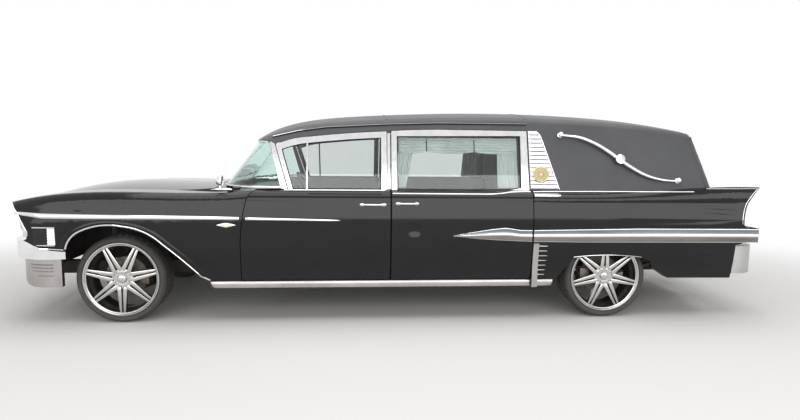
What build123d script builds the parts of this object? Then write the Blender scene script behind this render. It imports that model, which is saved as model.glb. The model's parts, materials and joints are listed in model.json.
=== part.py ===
from build123d import *
import math
import os

# A late fifties finned hearse on a long commercial chassis.
# Lengths are in millimetres. X runs to the rear and is counted from the front axle,
# Y runs to the car's right and Z runs up from the ground.

# Whole car
FRONT_END = -890
WHEELBASE = 3962
REAR_OVERHANG = 1328
REAR_END = WHEELBASE + REAR_OVERHANG
CUT_REACH = 1100
ORIGIN_X = (FRONT_END + REAR_END) / 2

# Body side, seen in cross-section
SILL_Z = 345
SILL_Y = 955
CREASE_Z = 712
CREASE_Y = 1008
SHOULDER_Z = 985
SHOULDER_Y = 985
BELT_Z = 1072
BELT_Y = 925
GLASS_BASE_Z = 1080
GLASS_BASE_Y = 903
TUMBLEHOME = 0.295
WALL_INNER_Y = 870
FRAME_THICKNESS = 36
PANEL_THICKNESS = 36
FIT_GAP = 0.3
DOOR_GAP = 6

# Doors
HINGE_Y = CREASE_Y
FRONT_DOOR_FRONT = 953
FRONT_DOOR_HINGE_X = 965
DOOR_SPLIT = 2137
DOOR_SPLIT_GAP = 12
REAR_DOOR_TO_AXLE = 669
REAR_DOOR_REAR = WHEELBASE - REAR_DOOR_TO_AXLE
REAR_DOOR_HINGE_X = REAR_DOOR_REAR - 9
DOOR_BOTTOM = 352
POST_WIDTH = 40
POST_FRAME_WIDTH = 44
POST_SETBACK = 43
POST_THICKNESS = 30

# Roof
CORNER_RADIUS = 80
CROWN_ANGLE = 10
ROOF_WALL = 36
WINDSHIELD_SILL_BOTTOM = 1086
WINDSHIELD_SILL_TOP = 1101

# Rear wall and rear door
REAR_WALL_X = WHEELBASE + 1113
REAR_WALL_SIDE_X = REAR_WALL_X - 70
REAR_CORNER_X = WHEELBASE + 638
REAR_DOOR_HALF = 555
REAR_SLOPE = (-145, 312)
TAILGATE_BOTTOM = 640
TAILGATE_TOP = 1478
TAILGATE_THICKNESS = 60
REAR_WALL_THICKNESS = 92

# Wheels
AXLE_Z = 352
TYRE_RADIUS = 352
TYRE_WIDTH = 244
WHEEL_MID_Y = 787
RIM_LIP_RADIUS = 296
BEAD_RADIUS = 279.5
RIM_HALF_WIDTH = 121
LIP_THICKNESS = 8
BARREL_THICKNESS = 9
SPOKE_COUNT = 7
SPOKE_BACK = 76
SPOKE_FACE = 104
SPOKE_FOOT = 43
SPOKE_TIP = 22
SLOT_FOOT = 9
SLOT_TIP = 5
SPOKE_SINK = 4
LUG_COUNT = 5
FRONT_WHEEL_TURN = 540 / SPOKE_COUNT
LUG_CIRCLE = 127
LUG_HOLE_RADIUS = 11
DISC_RADIUS = 165
DISC_THICKNESS = 24
HUB_RADIUS = 78
SPINDLE_RADIUS = 24
SPINDLE_CLEARANCE = 0.6

# Chassis and floors
RAIL_INNER_Y = 290
RAIL_OUTER_Y = 370
RAIL_BOTTOM = 290
RAIL_TOP = 400
FLOOR_Z = 410
FLOOR_THICKNESS = 20
DECK_Z = 705
DECK_THICKNESS = 18
DECK_FRONT = DOOR_SPLIT + 113
DECK_REAR = WHEELBASE + 938
WHEELHOUSE_RADIUS = 412
WHEELHOUSE_THICKNESS = 14
WHEELHOUSE_CLEARANCE = 40
WHEELHOUSE_INNER_Y = WHEEL_MID_Y - TYRE_WIDTH / 2 - WHEELHOUSE_CLEARANCE
DECK_SIDE_GAP = 13
DECK_HALF = WHEELHOUSE_INNER_Y - DECK_SIDE_GAP
BIER_PIN_RADIUS = 9
PIN_HOLE_X = 3000
PIN_HOLE_Y = 300

# Front end
HOOD_HALF = 690
HOOD_REAR = 700
HOOD_FRONT = -748
HOOD_THICKNESS = 26
HOOD_CROWN = 32
HOOD_GAP = 6
LAMP_RADIUS = 73
LAMP_RIM = 5
LAMP_Z = 800
LAMP_YS = (655, 815)
GRILLE_HALF = 566

os.makedirs("parts", exist_ok=True)


def skin_y(z):
    """Half width of the sloping window plane at a height."""
    return GLASS_BASE_Y - TUMBLEHOME * (z - GLASS_BASE_Z)


def outline(points, place):
    """Closed wire. An entry is a corner (a, b), or an arc (a, b, mid_a, mid_b) that ends at (a, b)."""
    edges = []
    last = points[0][:2]
    for entry in points[1:] + points[:1]:
        end = entry[:2]
        if len(entry) == 4:
            edges.append(ThreePointArc(place(*last), place(*entry[2:]), place(*end)))
        else:
            edges.append(Line(place(*last), place(*end)))
        last = end
    return Wire(edges)


def across(points, y_from, y_to, inset=0):
    """Side view outline (x, z) made solid across the car."""
    face = Face(outline(points, lambda x, z: (x, y_from, z)))
    if inset:
        face = offset(face, amount=-inset)
    return extrude(face, amount=y_to - y_from, dir=(0, 1, 0))


def along(points, x_from, x_to):
    """Cross-section outline (y, z) made solid along the car."""
    face = Face(outline(points, lambda y, z: (x_from, y, z)))
    return extrude(face, amount=x_to - x_from, dir=(1, 0, 0))


def upward(points, z_from, z_to):
    """Plan outline (x, y) made solid upwards."""
    face = Face(outline(points, lambda x, y: (x, y, z_from)))
    return extrude(face, amount=z_to - z_from, dir=(0, 0, 1))


def block(x_from, x_to, y_from, y_to, z_from, z_to):
    """Plain block between six planes."""
    size = Box(x_to - x_from, y_to - y_from, z_to - z_from)
    return Pos((x_from + x_to) / 2, (y_from + y_to) / 2, (z_from + z_to) / 2) * size


def lofted(sections):
    """Solid through cross-sections, each a station x and its outline (y, z)."""
    wires = []
    for x, points in sections:
        wires.append(Face(outline(points, lambda y, z, x=x: (x, y, z))))
    return loft(wires)


def rod_along_y(x, z, radius, y_from, y_to):
    """Round bar across the car."""
    bar = Cylinder(radius, y_to - y_from, rotation=(90, 0, 0))
    return Pos(x, (y_from + y_to) / 2, z) * bar


def rounded_boss(x, radius, depth, sign):
    """Round boss along the car: flat back at x, short straight rim and a spherical end."""
    cap = depth * 0.6
    ball = (radius * radius + cap * cap) / (2 * cap)
    half_angle = math.asin(radius / ball) / 2
    rim = (x + sign * (depth - cap), radius)
    bulge = (x + sign * (depth - ball + ball * math.cos(half_angle)), ball * math.sin(half_angle))
    face = Face(outline([(x, 0), (x, radius), rim, (x + sign * depth, 0, *bulge)], lambda a, r: (a, 0, r)))
    return revolve(face, axis=Axis.X)


def left_of(shape):
    """Mirror image on the car's left."""
    return mirror(shape, about=Plane.XZ)


def both(shape):
    """Right-hand piece with its mirror image."""
    return [shape, left_of(shape)]


def save(name, shapes):
    """Write one node, moved so that the origin is under the middle of the car."""
    if not isinstance(shapes, list):
        shapes = [shapes]
    solids = []
    for shape in shapes:
        solids += shape.solids()
    moved = [Pos(-ORIGIN_X, 0, 0) * solid for solid in solids]
    export_step(Compound(children=moved), f"parts/{name}.step")


# Body side and doors

def side_outer(bottom):
    """Outer skin of the body side from the sill up to the belt."""
    return [
        (SILL_Y, bottom),
        (CREASE_Y, CREASE_Z, SILL_Y + 38, (bottom + CREASE_Z) / 2),
        (SHOULDER_Y, SHOULDER_Z, CREASE_Y - 3, (CREASE_Z + SHOULDER_Z) / 2),
        (BELT_Y, BELT_Z, SHOULDER_Y - 18, SHOULDER_Z + 57),
    ]


def lower_door_section():
    """Door from its bottom edge to the belt, as thick as the whole door."""
    return side_outer(DOOR_BOTTOM) + [
        (GLASS_BASE_Y, GLASS_BASE_Z),
        (GLASS_BASE_Y - FRAME_THICKNESS, GLASS_BASE_Z),
        (WALL_INNER_Y, BELT_Z),
        (WALL_INNER_Y, DOOR_BOTTOM),
    ]


def plane_strip(outer, inner, bottom, top):
    """Strip that lies in the sloping window plane, between two depths from its outer face."""
    return [
        (skin_y(bottom) - outer, bottom),
        (skin_y(top) - outer, top),
        (skin_y(top) - inner, top),
        (skin_y(bottom) - inner, bottom),
    ]


POST_FRONT = DOOR_SPLIT - POST_WIDTH / 2 - 11
POST_REAR = DOOR_SPLIT + POST_WIDTH / 2 - 11

# Corners of the upper door frames and of the windows, as (x, z)
FRONT_FRAME = [
    (1320, GLASS_BASE_Z),
    (1212, 1432),
    (1478, 1497, 1330, 1474),
    (POST_FRONT, 1548, 1800, 1529),
    (POST_FRONT, GLASS_BASE_Z),
]
REAR_FRAME = [
    (POST_REAR, GLASS_BASE_Z),
    (POST_REAR, 1552),
    (2529, 1567, 2340, 1562),
    (REAR_DOOR_REAR - 12, 1565),
    (REAR_DOOR_REAR - 12, GLASS_BASE_Z),
]
FRONT_WINDOW = [
    (1352, GLASS_BASE_Z),
    (1258, 1396),
    (1478, 1450, 1350, 1427),
    (POST_FRONT - POST_FRAME_WIDTH, 1498, 1780, 1479),
    (POST_FRONT - POST_FRAME_WIDTH, GLASS_BASE_Z),
]
REAR_WINDOW = [
    (POST_REAR + POST_FRAME_WIDTH, GLASS_BASE_Z),
    (POST_REAR + POST_FRAME_WIDTH, 1511),
    (REAR_DOOR_REAR - 67, 1524),
    (REAR_DOOR_REAR - 77, 1098),
    (REAR_DOOR_REAR - 213, GLASS_BASE_Z, REAR_DOOR_REAR - 138, 1084),
]
FRONT_DOOR_EDGE = [
    (DOOR_SPLIT + 50, DOOR_BOTTOM),
    (FRONT_DOOR_FRONT, DOOR_BOTTOM),
    (956, 530),
    (995, 968, 962, 760),
    (1072, GLASS_BASE_Z + 1, 1020, 1032),
    (DOOR_SPLIT + 50, GLASS_BASE_Z + 1),
]


def door(lower_outline, lower_x, frame_outline, window_outline, hinge_x, free_edge):
    """Door of the right side: lower panel swept round its hinge, with a window frame on it."""
    lower = along(lower_door_section(), *lower_x)
    if lower_outline:
        lower = lower & across(lower_outline, WALL_INNER_Y - 50, CREASE_Y + 50)
    reach = abs(free_edge - hinge_x)
    swing = Pos(hinge_x, HINGE_Y, 700) * Cylinder(reach, 1200)
    lower = lower & swing
    xs = [point[0] for point in frame_outline]
    frame = along(plane_strip(0, FRAME_THICKNESS, GLASS_BASE_Z, 1600), min(xs) - 5, max(xs) + 5)
    frame = frame & across(frame_outline, 600, 1000)
    frame = frame - across(window_outline, 600, 1000)
    return lower + frame


def door_glass(window_outline):
    """Pane in the middle of a door's window frame."""
    xs = [point[0] for point in window_outline]
    pane = along(plane_strip(15, 21, GLASS_BASE_Z + FIT_GAP, 1600), min(xs) - 5, max(xs) + 5)
    return pane & across(window_outline, 600, 1000, inset=FIT_GAP)


front_door = door(FRONT_DOOR_EDGE, (FRONT_DOOR_FRONT - 1, DOOR_SPLIT), FRONT_FRAME, FRONT_WINDOW,
                  FRONT_DOOR_HINGE_X, DOOR_SPLIT - DOOR_SPLIT_GAP / 2)
rear_door = door(None, (DOOR_SPLIT, REAR_DOOR_REAR), REAR_FRAME, REAR_WINDOW,
                 REAR_DOOR_HINGE_X, DOOR_SPLIT + DOOR_SPLIT_GAP / 2)
front_glass = door_glass(FRONT_WINDOW)
rear_glass = door_glass(REAR_WINDOW)
CURTAIN_DEPTH = 30
curtain = along(plane_strip(FRAME_THICKNESS + FIT_GAP, FRAME_THICKNESS + CURTAIN_DEPTH, 1090, 1505),
                POST_REAR + 60, REAR_DOOR_REAR - 88)

for side, turn in (("right", lambda shape: shape), ("left", left_of)):
    save(f"door_front_{side}", turn(front_door))
    save(f"door_rear_{side}", turn(rear_door))
    save(f"glass_front_{side}", turn(front_glass))
    save(f"glass_rear_{side}", turn(rear_glass))
    save(f"curtain_{side}", turn(curtain))


# Roof, rear quarters of the roof and rear wall

# Height of the roof's side rail at each station, as (x, rail_z)
ROOF_STATIONS = [
    (1030, 1380),
    (1190, 1466),
    (1600, 1556),
    (2500, 1613),
    (WHEELBASE - 612, 1621),
    (WHEELBASE + 238, 1578),
    (WHEELBASE + 738, 1508),
    (WHEELBASE + 1188, 1410),
]


def tunnel_section(rail_z, inset):
    """Roof in cross-section: sloping side, rounded corner and a shallow crown."""
    side_angle = math.atan(TUMBLEHOME)
    crown_angle = math.radians(CROWN_ANGLE)
    radius = CORNER_RADIUS - inset
    rail = (skin_y(rail_z), rail_z)
    centre = (
        rail[0] - CORNER_RADIUS * math.cos(side_angle),
        rail[1] - CORNER_RADIUS * math.sin(side_angle),
    )
    low = (centre[0] + radius * math.cos(side_angle), centre[1] + radius * math.sin(side_angle))
    middle_angle = (side_angle + math.pi / 2 - crown_angle) / 2
    middle = (centre[0] + radius * math.cos(middle_angle), centre[1] + radius * math.sin(middle_angle))
    top = (centre[0] + radius * math.sin(crown_angle), centre[1] + radius * math.cos(crown_angle))
    crown_z = top[1] + top[0] * math.tan(crown_angle / 2)
    base_z = BELT_Z - 40
    base_y = low[0] + TUMBLEHOME * (low[1] - base_z)
    return [
        (base_y, base_z),
        low,
        (*top, *middle),
        (-top[0], top[1], 0, crown_z),
        (-low[0], low[1], -middle[0], middle[1]),
        (-base_y, base_z),
    ]


def rear_plan(inset):
    """Plan of the rear wall: two rounded corners and a shallow curve between them."""
    front = 1000
    corner_half = REAR_DOOR_HALF + 5
    bend_x = REAR_CORNER_X + 305 - inset
    bend_y = 820
    return [
        (front, CUT_REACH),
        (REAR_CORNER_X - inset, CUT_REACH),
        (REAR_WALL_SIDE_X - inset, corner_half, bend_x, bend_y),
        (REAR_WALL_SIDE_X - inset, -corner_half, REAR_WALL_X - inset, 0),
        (REAR_CORNER_X - inset, -CUT_REACH, bend_x, -bend_y),
        (front, -CUT_REACH),
    ]


def rear_bound(inset):
    """Everything ahead of the rear wall: upright below the belt and leaning forward above it."""
    lower = upward(rear_plan(inset), 300, BELT_Z)
    face = Face(outline(rear_plan(inset), lambda x, y: (x, y, BELT_Z)))
    upper = extrude(face, amount=900, dir=(REAR_SLOPE[0], 0, REAR_SLOPE[1]))
    return lower, upper


def roof_tunnel(inset):
    """Roof and window sides, open to the front and rear."""
    return lofted([(x, tunnel_section(rail_z, inset)) for x, rail_z in ROOF_STATIONS])


def greenhouse(inset):
    """Closed volume of the roof and windows, or its hollow for an inset."""
    shoulder_x = WHEELBASE + 658 - inset
    tail_x = WHEELBASE + 943 - inset
    top = across([
        (900, 1000), (900, 1900), (WHEELBASE + 338, 1900), (shoulder_x, 1650 - inset),
        (tail_x, 1450 - inset, tail_x - 90, 1572 - inset), (REAR_END + 10, 1000),
    ], -CUT_REACH, CUT_REACH)
    return roof_tunnel(inset) & rear_bound(inset)[1] & top


HEADER_Z = 1464
HEADER_EDGE = [(400, 1000), (1262, 1000), (1262, BELT_Z), (1160, HEADER_Z), (900, HEADER_Z), (400, HEADER_Z)]
DOORWAY = [
    (1313, 1000),
    (1313, BELT_Z),
    (1203, 1438),
    (1478, 1503, 1330, 1480),
    (POST_FRONT, 1554, 1800, 1535),
    (2529, 1573, 2340, 1568),
    (REAR_DOOR_REAR - 6, 1571),
    (REAR_DOOR_REAR - 6, 1000),
]
tailgate_hole = along([
    (REAR_DOOR_HALF + DOOR_GAP, TAILGATE_BOTTOM - DOOR_GAP),
    (REAR_DOOR_HALF + DOOR_GAP, BELT_Z),
    (REAR_DOOR_HALF - 60, TAILGATE_TOP + DOOR_GAP),
    (-REAR_DOOR_HALF + 60, TAILGATE_TOP + DOOR_GAP),
    (-REAR_DOOR_HALF - DOOR_GAP, BELT_Z),
    (-REAR_DOOR_HALF - DOOR_GAP, TAILGATE_BOTTOM - DOOR_GAP),
], REAR_CORNER_X, REAR_END + 10)

roof_outer = greenhouse(0)
roof_shell = roof_outer - greenhouse(ROOF_WALL)
roof_shell = roof_shell - across(HEADER_EDGE, -CUT_REACH, CUT_REACH)
for y_from, y_to in ((600, CUT_REACH), (-CUT_REACH, -600)):
    roof_shell = roof_shell - across(DOORWAY, y_from, y_to)
roof_shell = roof_shell - tailgate_hole
roof_shell = roof_shell - block(0, REAR_END, -CUT_REACH, CUT_REACH, 900, GLASS_BASE_Z)
roof_shell = roof_shell - block(0, DOOR_SPLIT, -CUT_REACH, CUT_REACH, 900, WINDSHIELD_SILL_TOP + FIT_GAP)
save("roof_shell", roof_shell)

# Rear wall below the belt and the rear door
lower_bound, upper_bound = rear_bound(0)
lower_inner, upper_inner = rear_bound(TAILGATE_THICKNESS)
tailgate_outline = [
    (REAR_DOOR_HALF, TAILGATE_BOTTOM),
    (REAR_DOOR_HALF, BELT_Z - 1),
    (REAR_DOOR_HALF - 66, TAILGATE_TOP),
    (-REAR_DOOR_HALF + 66, TAILGATE_TOP),
    (-REAR_DOOR_HALF, BELT_Z - 1),
    (-REAR_DOOR_HALF, TAILGATE_BOTTOM),
]
tailgate_column = along(tailgate_outline, REAR_CORNER_X, REAR_END)
tailgate_lower = (lower_bound - lower_inner) & tailgate_column
upper_skin = upper_bound & roof_outer
upper_core = upper_inner & greenhouse(TAILGATE_THICKNESS)
tailgate_upper = (upper_skin - upper_core) & tailgate_column & block(
    REAR_CORNER_X, REAR_END, -CUT_REACH, CUT_REACH, BELT_Z, 1600)
TAILGATE_WINDOW = [(430, 1130), (372, 1420), (-372, 1420), (-430, 1130)]
window_column = along(TAILGATE_WINDOW, REAR_CORNER_X, REAR_END)
tailgate = tailgate_lower + (tailgate_upper - window_column)
save("tailgate", tailgate)
pane_outer = rear_bound(25)[1] & roof_outer
pane_inner = rear_bound(31)[1]
pane_column = along(TAILGATE_WINDOW, REAR_CORNER_X, REAR_END)
pane_window = extrude(offset(pane_column.faces().sort_by(Axis.X)[0], amount=-FIT_GAP),
                      amount=REAR_END - REAR_CORNER_X, dir=(1, 0, 0))
save("glass_tailgate", (pane_outer - pane_inner) & pane_window)

# Quarter panels with fins
FIN_TIP_X = WHEELBASE + 1278


def quarter_section(top_y, top_z, inner_y):
    """Body side behind the doors, with the shoulder drawn up into a fin."""
    return [
        (SILL_Y, SILL_Z),
        (CREASE_Y, CREASE_Z, SILL_Y + 38, (SILL_Z + CREASE_Z) / 2),
        (SHOULDER_Y, SHOULDER_Z, CREASE_Y - 3, (CREASE_Z + SHOULDER_Z) / 2),
        (top_y, top_z, SHOULDER_Y * 0.84 + top_y * 0.16, SHOULDER_Z * 0.4 + top_z * 0.6),
        (inner_y, GLASS_BASE_Z - FIT_GAP),
        (WALL_INNER_Y, GLASS_BASE_Z - FIT_GAP),
        (WALL_INNER_Y, SILL_Z),
    ]


QUARTER_FRONT = REAR_DOOR_REAR + DOOR_GAP
QUARTER_REAR_X = WHEELBASE + 1072
POD_END_X = FIN_TIP_X - 14
QUARTER_SIDE = [
    (QUARTER_FRONT, SILL_Z - 20),
    (QUARTER_FRONT, 1250),
    (REAR_END + 10, 1250),
    (FIN_TIP_X, 1116),
    (FIN_TIP_X - 144, 806, FIN_TIP_X - 120, 960),
    (FIN_TIP_X - 90, 790, FIN_TIP_X - 128, 790),
    (POD_END_X, 776),
    (POD_END_X, 656),
    (QUARTER_REAR_X, 640, QUARTER_REAR_X + 46, 650),
    (QUARTER_REAR_X, 345),
    (WHEELBASE + 519, 349),
    (WHEELBASE + 435, 404),
    (WHEELBASE + 368, 440),
    (WHEELBASE + 338, 500),
    (WHEELBASE + 262, 529),
    (WHEELBASE - 315, 531, WHEELBASE - 39, 548),
    (WHEELBASE - 464, SILL_Z - 20),
]
quarter = lofted([
    (QUARTER_FRONT, quarter_section(BELT_Y, BELT_Z, GLASS_BASE_Y + 4)),
    (WHEELBASE + 288, quarter_section(935, 1082, GLASS_BASE_Y + 8)),
    (WHEELBASE + 788, quarter_section(952, 1112, 920)),
    (FIN_TIP_X + 10, quarter_section(956, 1118, 930)),
])
quarter = quarter & across(QUARTER_SIDE, WALL_INNER_Y - 20, CREASE_Y + 20)
quarter = quarter - rod_along_y(WHEELBASE, AXLE_Z, WHEELHOUSE_RADIUS, 700, 958)
save("quarter_panels", both(quarter))

# Rear wall between the quarters, stepped so that the rear door closes against it
JAMB_WIDTH = 55
rear_wall = lower_bound - rear_bound(REAR_WALL_THICKNESS)[0]
rear_wall = rear_wall & block(REAR_CORNER_X, REAR_END, -WALL_INNER_Y + FIT_GAP, WALL_INNER_Y - FIT_GAP,
                              FLOOR_Z + FLOOR_THICKNESS + FIT_GAP, GLASS_BASE_Z)
rear_wall = rear_wall - (tailgate_hole - rear_bound(TAILGATE_THICKNESS + FIT_GAP)[0])
jamb_half = REAR_DOOR_HALF - JAMB_WIDTH
rear_wall = rear_wall - block(REAR_CORNER_X, REAR_END, -jamb_half, jamb_half,
                              TAILGATE_BOTTOM + JAMB_WIDTH, 1200)
save("rear_wall", rear_wall)


# Front fenders, hood and cowl

def fender_section(drop, pull, top_z, bottom):
    """Fender in cross-section: outer skin, rounded shoulder and top, with an even wall."""
    t = PANEL_THICKNESS
    crease_y = CREASE_Y - pull
    shoulder_y = SHOULDER_Y - pull
    shoulder_z = top_z - 87
    belt_y = BELT_Y - pull
    inner = HOOD_HALF + HOOD_GAP
    return [
        (SILL_Y - pull, bottom),
        (crease_y, CREASE_Z - drop, SILL_Y + 38 - pull, (bottom + CREASE_Z - drop) / 2),
        (shoulder_y, shoulder_z, crease_y - 3, (CREASE_Z - drop + shoulder_z) / 2),
        (belt_y, top_z, shoulder_y - 18, shoulder_z + 57),
        (inner, top_z + 4),
        (inner, top_z + 4 - t),
        (belt_y - 12, top_z - t),
        (shoulder_y - t, shoulder_z, shoulder_y - 18 - t * 0.8, shoulder_z + 57 - t * 0.6),
        (crease_y - t, CREASE_Z - drop, crease_y - 3 - t, (CREASE_Z - drop + shoulder_z) / 2),
        (SILL_Y - pull - t, bottom, SILL_Y + 38 - pull - t, (bottom + CREASE_Z - drop) / 2),
    ]


FENDER_REAR = FRONT_DOOR_FRONT - DOOR_GAP
FENDER_SIDE = [
    (FENDER_REAR, 340),
    (950, 530),
    (989, 971, 956, 760),
    (1066, GLASS_BASE_Z + 2, 1014, 1035),
    (1066, 1200),
    (-784, 1200),
    (-790, 962),
    (-728, 884),
    (-650, 750, -700, 820),
    (-686, 680, -655, 700),
    (-384, 592, -560, 626),
    (-366, 610),
    (-276, 735, -335, 680),
    (57, 784, -110, 790),
    (355, 643, 215, 742),
    (632, 379, 510, 505),
    (700, 340),
]
fender = lofted([
    (-800, fender_section(0, 45, 968, SILL_Z)),
    (-420, fender_section(0, 14, 1034, SILL_Z)),
    (100, fender_section(0, 4, 1052, SILL_Z)),
    (1080, fender_section(0, 0, BELT_Z, SILL_Z)),
])
fender = fender & across(FENDER_SIDE, HOOD_HALF, CREASE_Y + 20)


def hood_section(edge_z, half, crown):
    """Hood in cross-section: shallow crown with an even wall."""
    t = HOOD_THICKNESS
    return [
        (half, edge_z),
        (-half, edge_z, 0, edge_z + crown),
        (-half, edge_z - t),
        (half, edge_z - t, 0, edge_z + crown - t),
    ]


hood = lofted([
    (HOOD_FRONT, hood_section(950, HOOD_HALF, HOOD_CROWN)),
    (-400, hood_section(1034, HOOD_HALF, HOOD_CROWN)),
    (100, hood_section(1054, HOOD_HALF, HOOD_CROWN)),
    (HOOD_REAR, hood_section(1070, HOOD_HALF, HOOD_CROWN)),
])
save("hood", hood)

# Stop under each front corner of the hood, on the fender's inner lip
STOP_X = -640
STOP_LENGTH = 20
STOP_REACH = 26
STOP_HEIGHT = 40
hood_corner = hood & block(STOP_X, STOP_X + STOP_LENGTH, HOOD_HALF - STOP_REACH, HOOD_HALF, 900, 1100)
rest_z = hood_corner.bounding_box().min.Z
hood_stop = block(STOP_X, STOP_X + STOP_LENGTH, HOOD_HALF - STOP_REACH, HOOD_HALF + 30,
                  rest_z - STOP_HEIGHT, rest_z - FIT_GAP)
hood_stop = hood_stop + block(STOP_X, STOP_X + STOP_LENGTH, HOOD_HALF + HOOD_GAP + 1, HOOD_HALF + 30,
                              rest_z - STOP_HEIGHT, rest_z + STOP_HEIGHT)
fender = fender + hood_stop
save("front_fenders", both(fender))

COWL_FRONT = HOOD_REAR + HOOD_GAP
COWL_BEND_Y = HOOD_HALF - 220
cowl_top = lofted([
    (COWL_FRONT, hood_section(1070, HOOD_HALF, HOOD_CROWN)),
    (900, hood_section(1072, HOOD_HALF, HOOD_CROWN)),
])
cowl_top = cowl_top & upward([
    (600, HOOD_HALF), (1000, HOOD_HALF), (760, COWL_BEND_Y, 830, HOOD_HALF - 50),
    (760, -COWL_BEND_Y, 742, 0), (1000, -HOOD_HALF, 830, 50 - HOOD_HALF), (600, -HOOD_HALF),
], 900, 1200)
FIREWALL_REAR = COWL_FRONT + 40
firewall = along([
    (HOOD_HALF, FLOOR_Z + FLOOR_THICKNESS), (HOOD_HALF, 1056), (-HOOD_HALF, 1056, 0, 1086),
    (-HOOD_HALF, FLOOR_Z + FLOOR_THICKNESS),
], COWL_FRONT + 4, FIREWALL_REAR)

# Windshield: upright band of glass, wrapped round at the pillars
GLASS_THICKNESS = 8


def windshield_plan(centre_x, bend_x, bend_y, mid_x, mid_y, end_x, end_y, t=GLASS_THICKNESS):
    """Plan of the windshield, or of its sill, at one height."""
    return [
        (end_x, -end_y),
        (bend_x, -bend_y, mid_x, -mid_y),
        (bend_x, bend_y, centre_x, 0),
        (end_x, end_y, mid_x, mid_y),
        (end_x, end_y - t),
        (bend_x + t, bend_y, mid_x + t, mid_y - t),
        (bend_x + t, -bend_y, centre_x + t, 0),
        (end_x, -end_y + t, mid_x + t, -mid_y + t),
    ]


def plan_loft(sections):
    """Solid through plan outlines at their heights."""
    faces = []
    for z, points in sections:
        faces.append(Face(outline(points, lambda x, y, z=z: (x, y, z))))
    return loft(faces, ruled=True)


windshield = plan_loft([
    (WINDSHIELD_SILL_TOP + FIT_GAP, windshield_plan(748, 772, 470, 890, 790, 1252, 886)),
    (HEADER_Z - FIT_GAP, windshield_plan(1036, 1052, 420, 1085, 690, 1152, 776)),
])
save("windshield", windshield)
windshield_sill = upward(windshield_plan(738, 762, 474, 882, 800, 1300, 897, 40),
                         WINDSHIELD_SILL_BOTTOM, WINDSHIELD_SILL_TOP)
save("cowl", cowl_top + firewall + windshield_sill)

# Door mirror, on the left fender only
MIRROR_Y = -885
MIRROR_HALF = 20
MIRROR_HEAD_RADIUS = 45
MIRROR_HEAD_DEPTH = 38
MIRROR_FACE_X = 800
MIRROR_Z = 1139
mirror_foot = upward([
    (706, MIRROR_Y), (770, MIRROR_Y - MIRROR_HALF, 732, MIRROR_Y - 17), (855, MIRROR_Y - MIRROR_HALF),
    (879, MIRROR_Y), (855, MIRROR_Y + MIRROR_HALF), (770, MIRROR_Y + MIRROR_HALF),
], 1050, 1084) - Pos(0, 0, FIT_GAP) * left_of(fender)
mirror_foot = mirror_foot.solids().sort_by(Axis.Z)[-1]
mirror_stem = Pos(785, MIRROR_Y, 1092) * Cone(15, 8, 30)
mirror_head = rounded_boss(MIRROR_FACE_X, MIRROR_HEAD_RADIUS, MIRROR_HEAD_DEPTH, -1)
mirror_head = Pos(0, MIRROR_Y, MIRROR_Z) * mirror_head
save("side_mirror", mirror_foot + mirror_stem + mirror_head)

# Front bumper, apron, grille and lamps
BUMPER_WALL = 45


def bumper_plan(sign, end_x, side_y, front_x, centre_x, corner_x, corner_y, wall):
    """Plan of a bumper: two ends that wrap round and a bowed face."""
    w = wall * sign
    return [
        (end_x, side_y),
        (front_x, corner_y, corner_x, side_y - 25),
        (front_x, -corner_y, centre_x, 0),
        (end_x, -side_y, corner_x, -side_y + 25),
        (end_x, -side_y + wall),
        (front_x - w, -corner_y + wall, corner_x - w, -side_y + 25 + wall),
        (front_x - w, corner_y - wall, centre_x - w, 0),
        (end_x, side_y - wall, corner_x - w, side_y - 25 - wall),
    ]


FRONT_BAR_END_X = -384
FRONT_BAR_FOOT = 531
FRONT_BAR_TOP = 676
front_bar = upward(bumper_plan(-1, FRONT_BAR_END_X, 965, FRONT_END + 45, FRONT_END, -700, 760, BUMPER_WALL),
                   FRONT_BAR_FOOT, FRONT_BAR_TOP)
front_bar = front_bar & across([
    (FRONT_BAR_END_X, FRONT_BAR_FOOT - 2), (FRONT_BAR_END_X, 588),
    (FRONT_BAR_END_X - 306, FRONT_BAR_TOP, -560, 622), (FRONT_END + 60, FRONT_BAR_TOP),
    (FRONT_END, 640, FRONT_END + 18, 664), (FRONT_END, 560),
    (FRONT_END + 30, FRONT_BAR_FOOT, FRONT_END + 10, 540),
], -1000, 1000)
APRON_FOOT = 306
apron = upward(bumper_plan(-1, -427, 945, -800, -835, -660, 720, 40), APRON_FOOT, FRONT_BAR_FOOT)
apron = apron & across([
    (-414, FRONT_BAR_FOOT), (-427, APRON_FOOT), (-616, APRON_FOOT), (FRONT_END + 40, 400, -750, 332),
    (FRONT_END + 40, FRONT_BAR_FOOT),
], -1000, 1000)
save("bumper_front", front_bar + apron)

# Grille: frame round a mesh of crossed bars
GRILLE_FRONT = -742
GRILLE_BACK = -700
GRILLE_BOTTOM = 690
GRILLE_TOP = 900
GRILLE_RIM = 19
GRILLE_ROWS = 9
GRILLE_COLUMNS = 23
GRILLE_BAR = 7
GRILLE_SINK = 2
mesh_half = GRILLE_HALF - GRILLE_RIM
mesh_bottom = GRILLE_BOTTOM + GRILLE_RIM
mesh_top = GRILLE_TOP - GRILLE_RIM
grille = block(GRILLE_FRONT, GRILLE_BACK, -GRILLE_HALF, GRILLE_HALF, GRILLE_BOTTOM, GRILLE_TOP)
grille = grille - block(GRILLE_FRONT - 10, GRILLE_BACK + 10, -mesh_half, mesh_half, mesh_bottom, mesh_top)
row_pitch = (mesh_top - mesh_bottom) / (GRILLE_ROWS + 1)
for row in range(GRILLE_ROWS):
    z = mesh_bottom + (row + 1) * row_pitch - GRILLE_BAR / 2
    grille = grille + block(GRILLE_FRONT + 4, GRILLE_BACK - 12, -mesh_half - GRILLE_SINK,
                            mesh_half + GRILLE_SINK, z, z + GRILLE_BAR)
column_pitch = mesh_half * 2 / (GRILLE_COLUMNS + 1)
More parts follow.
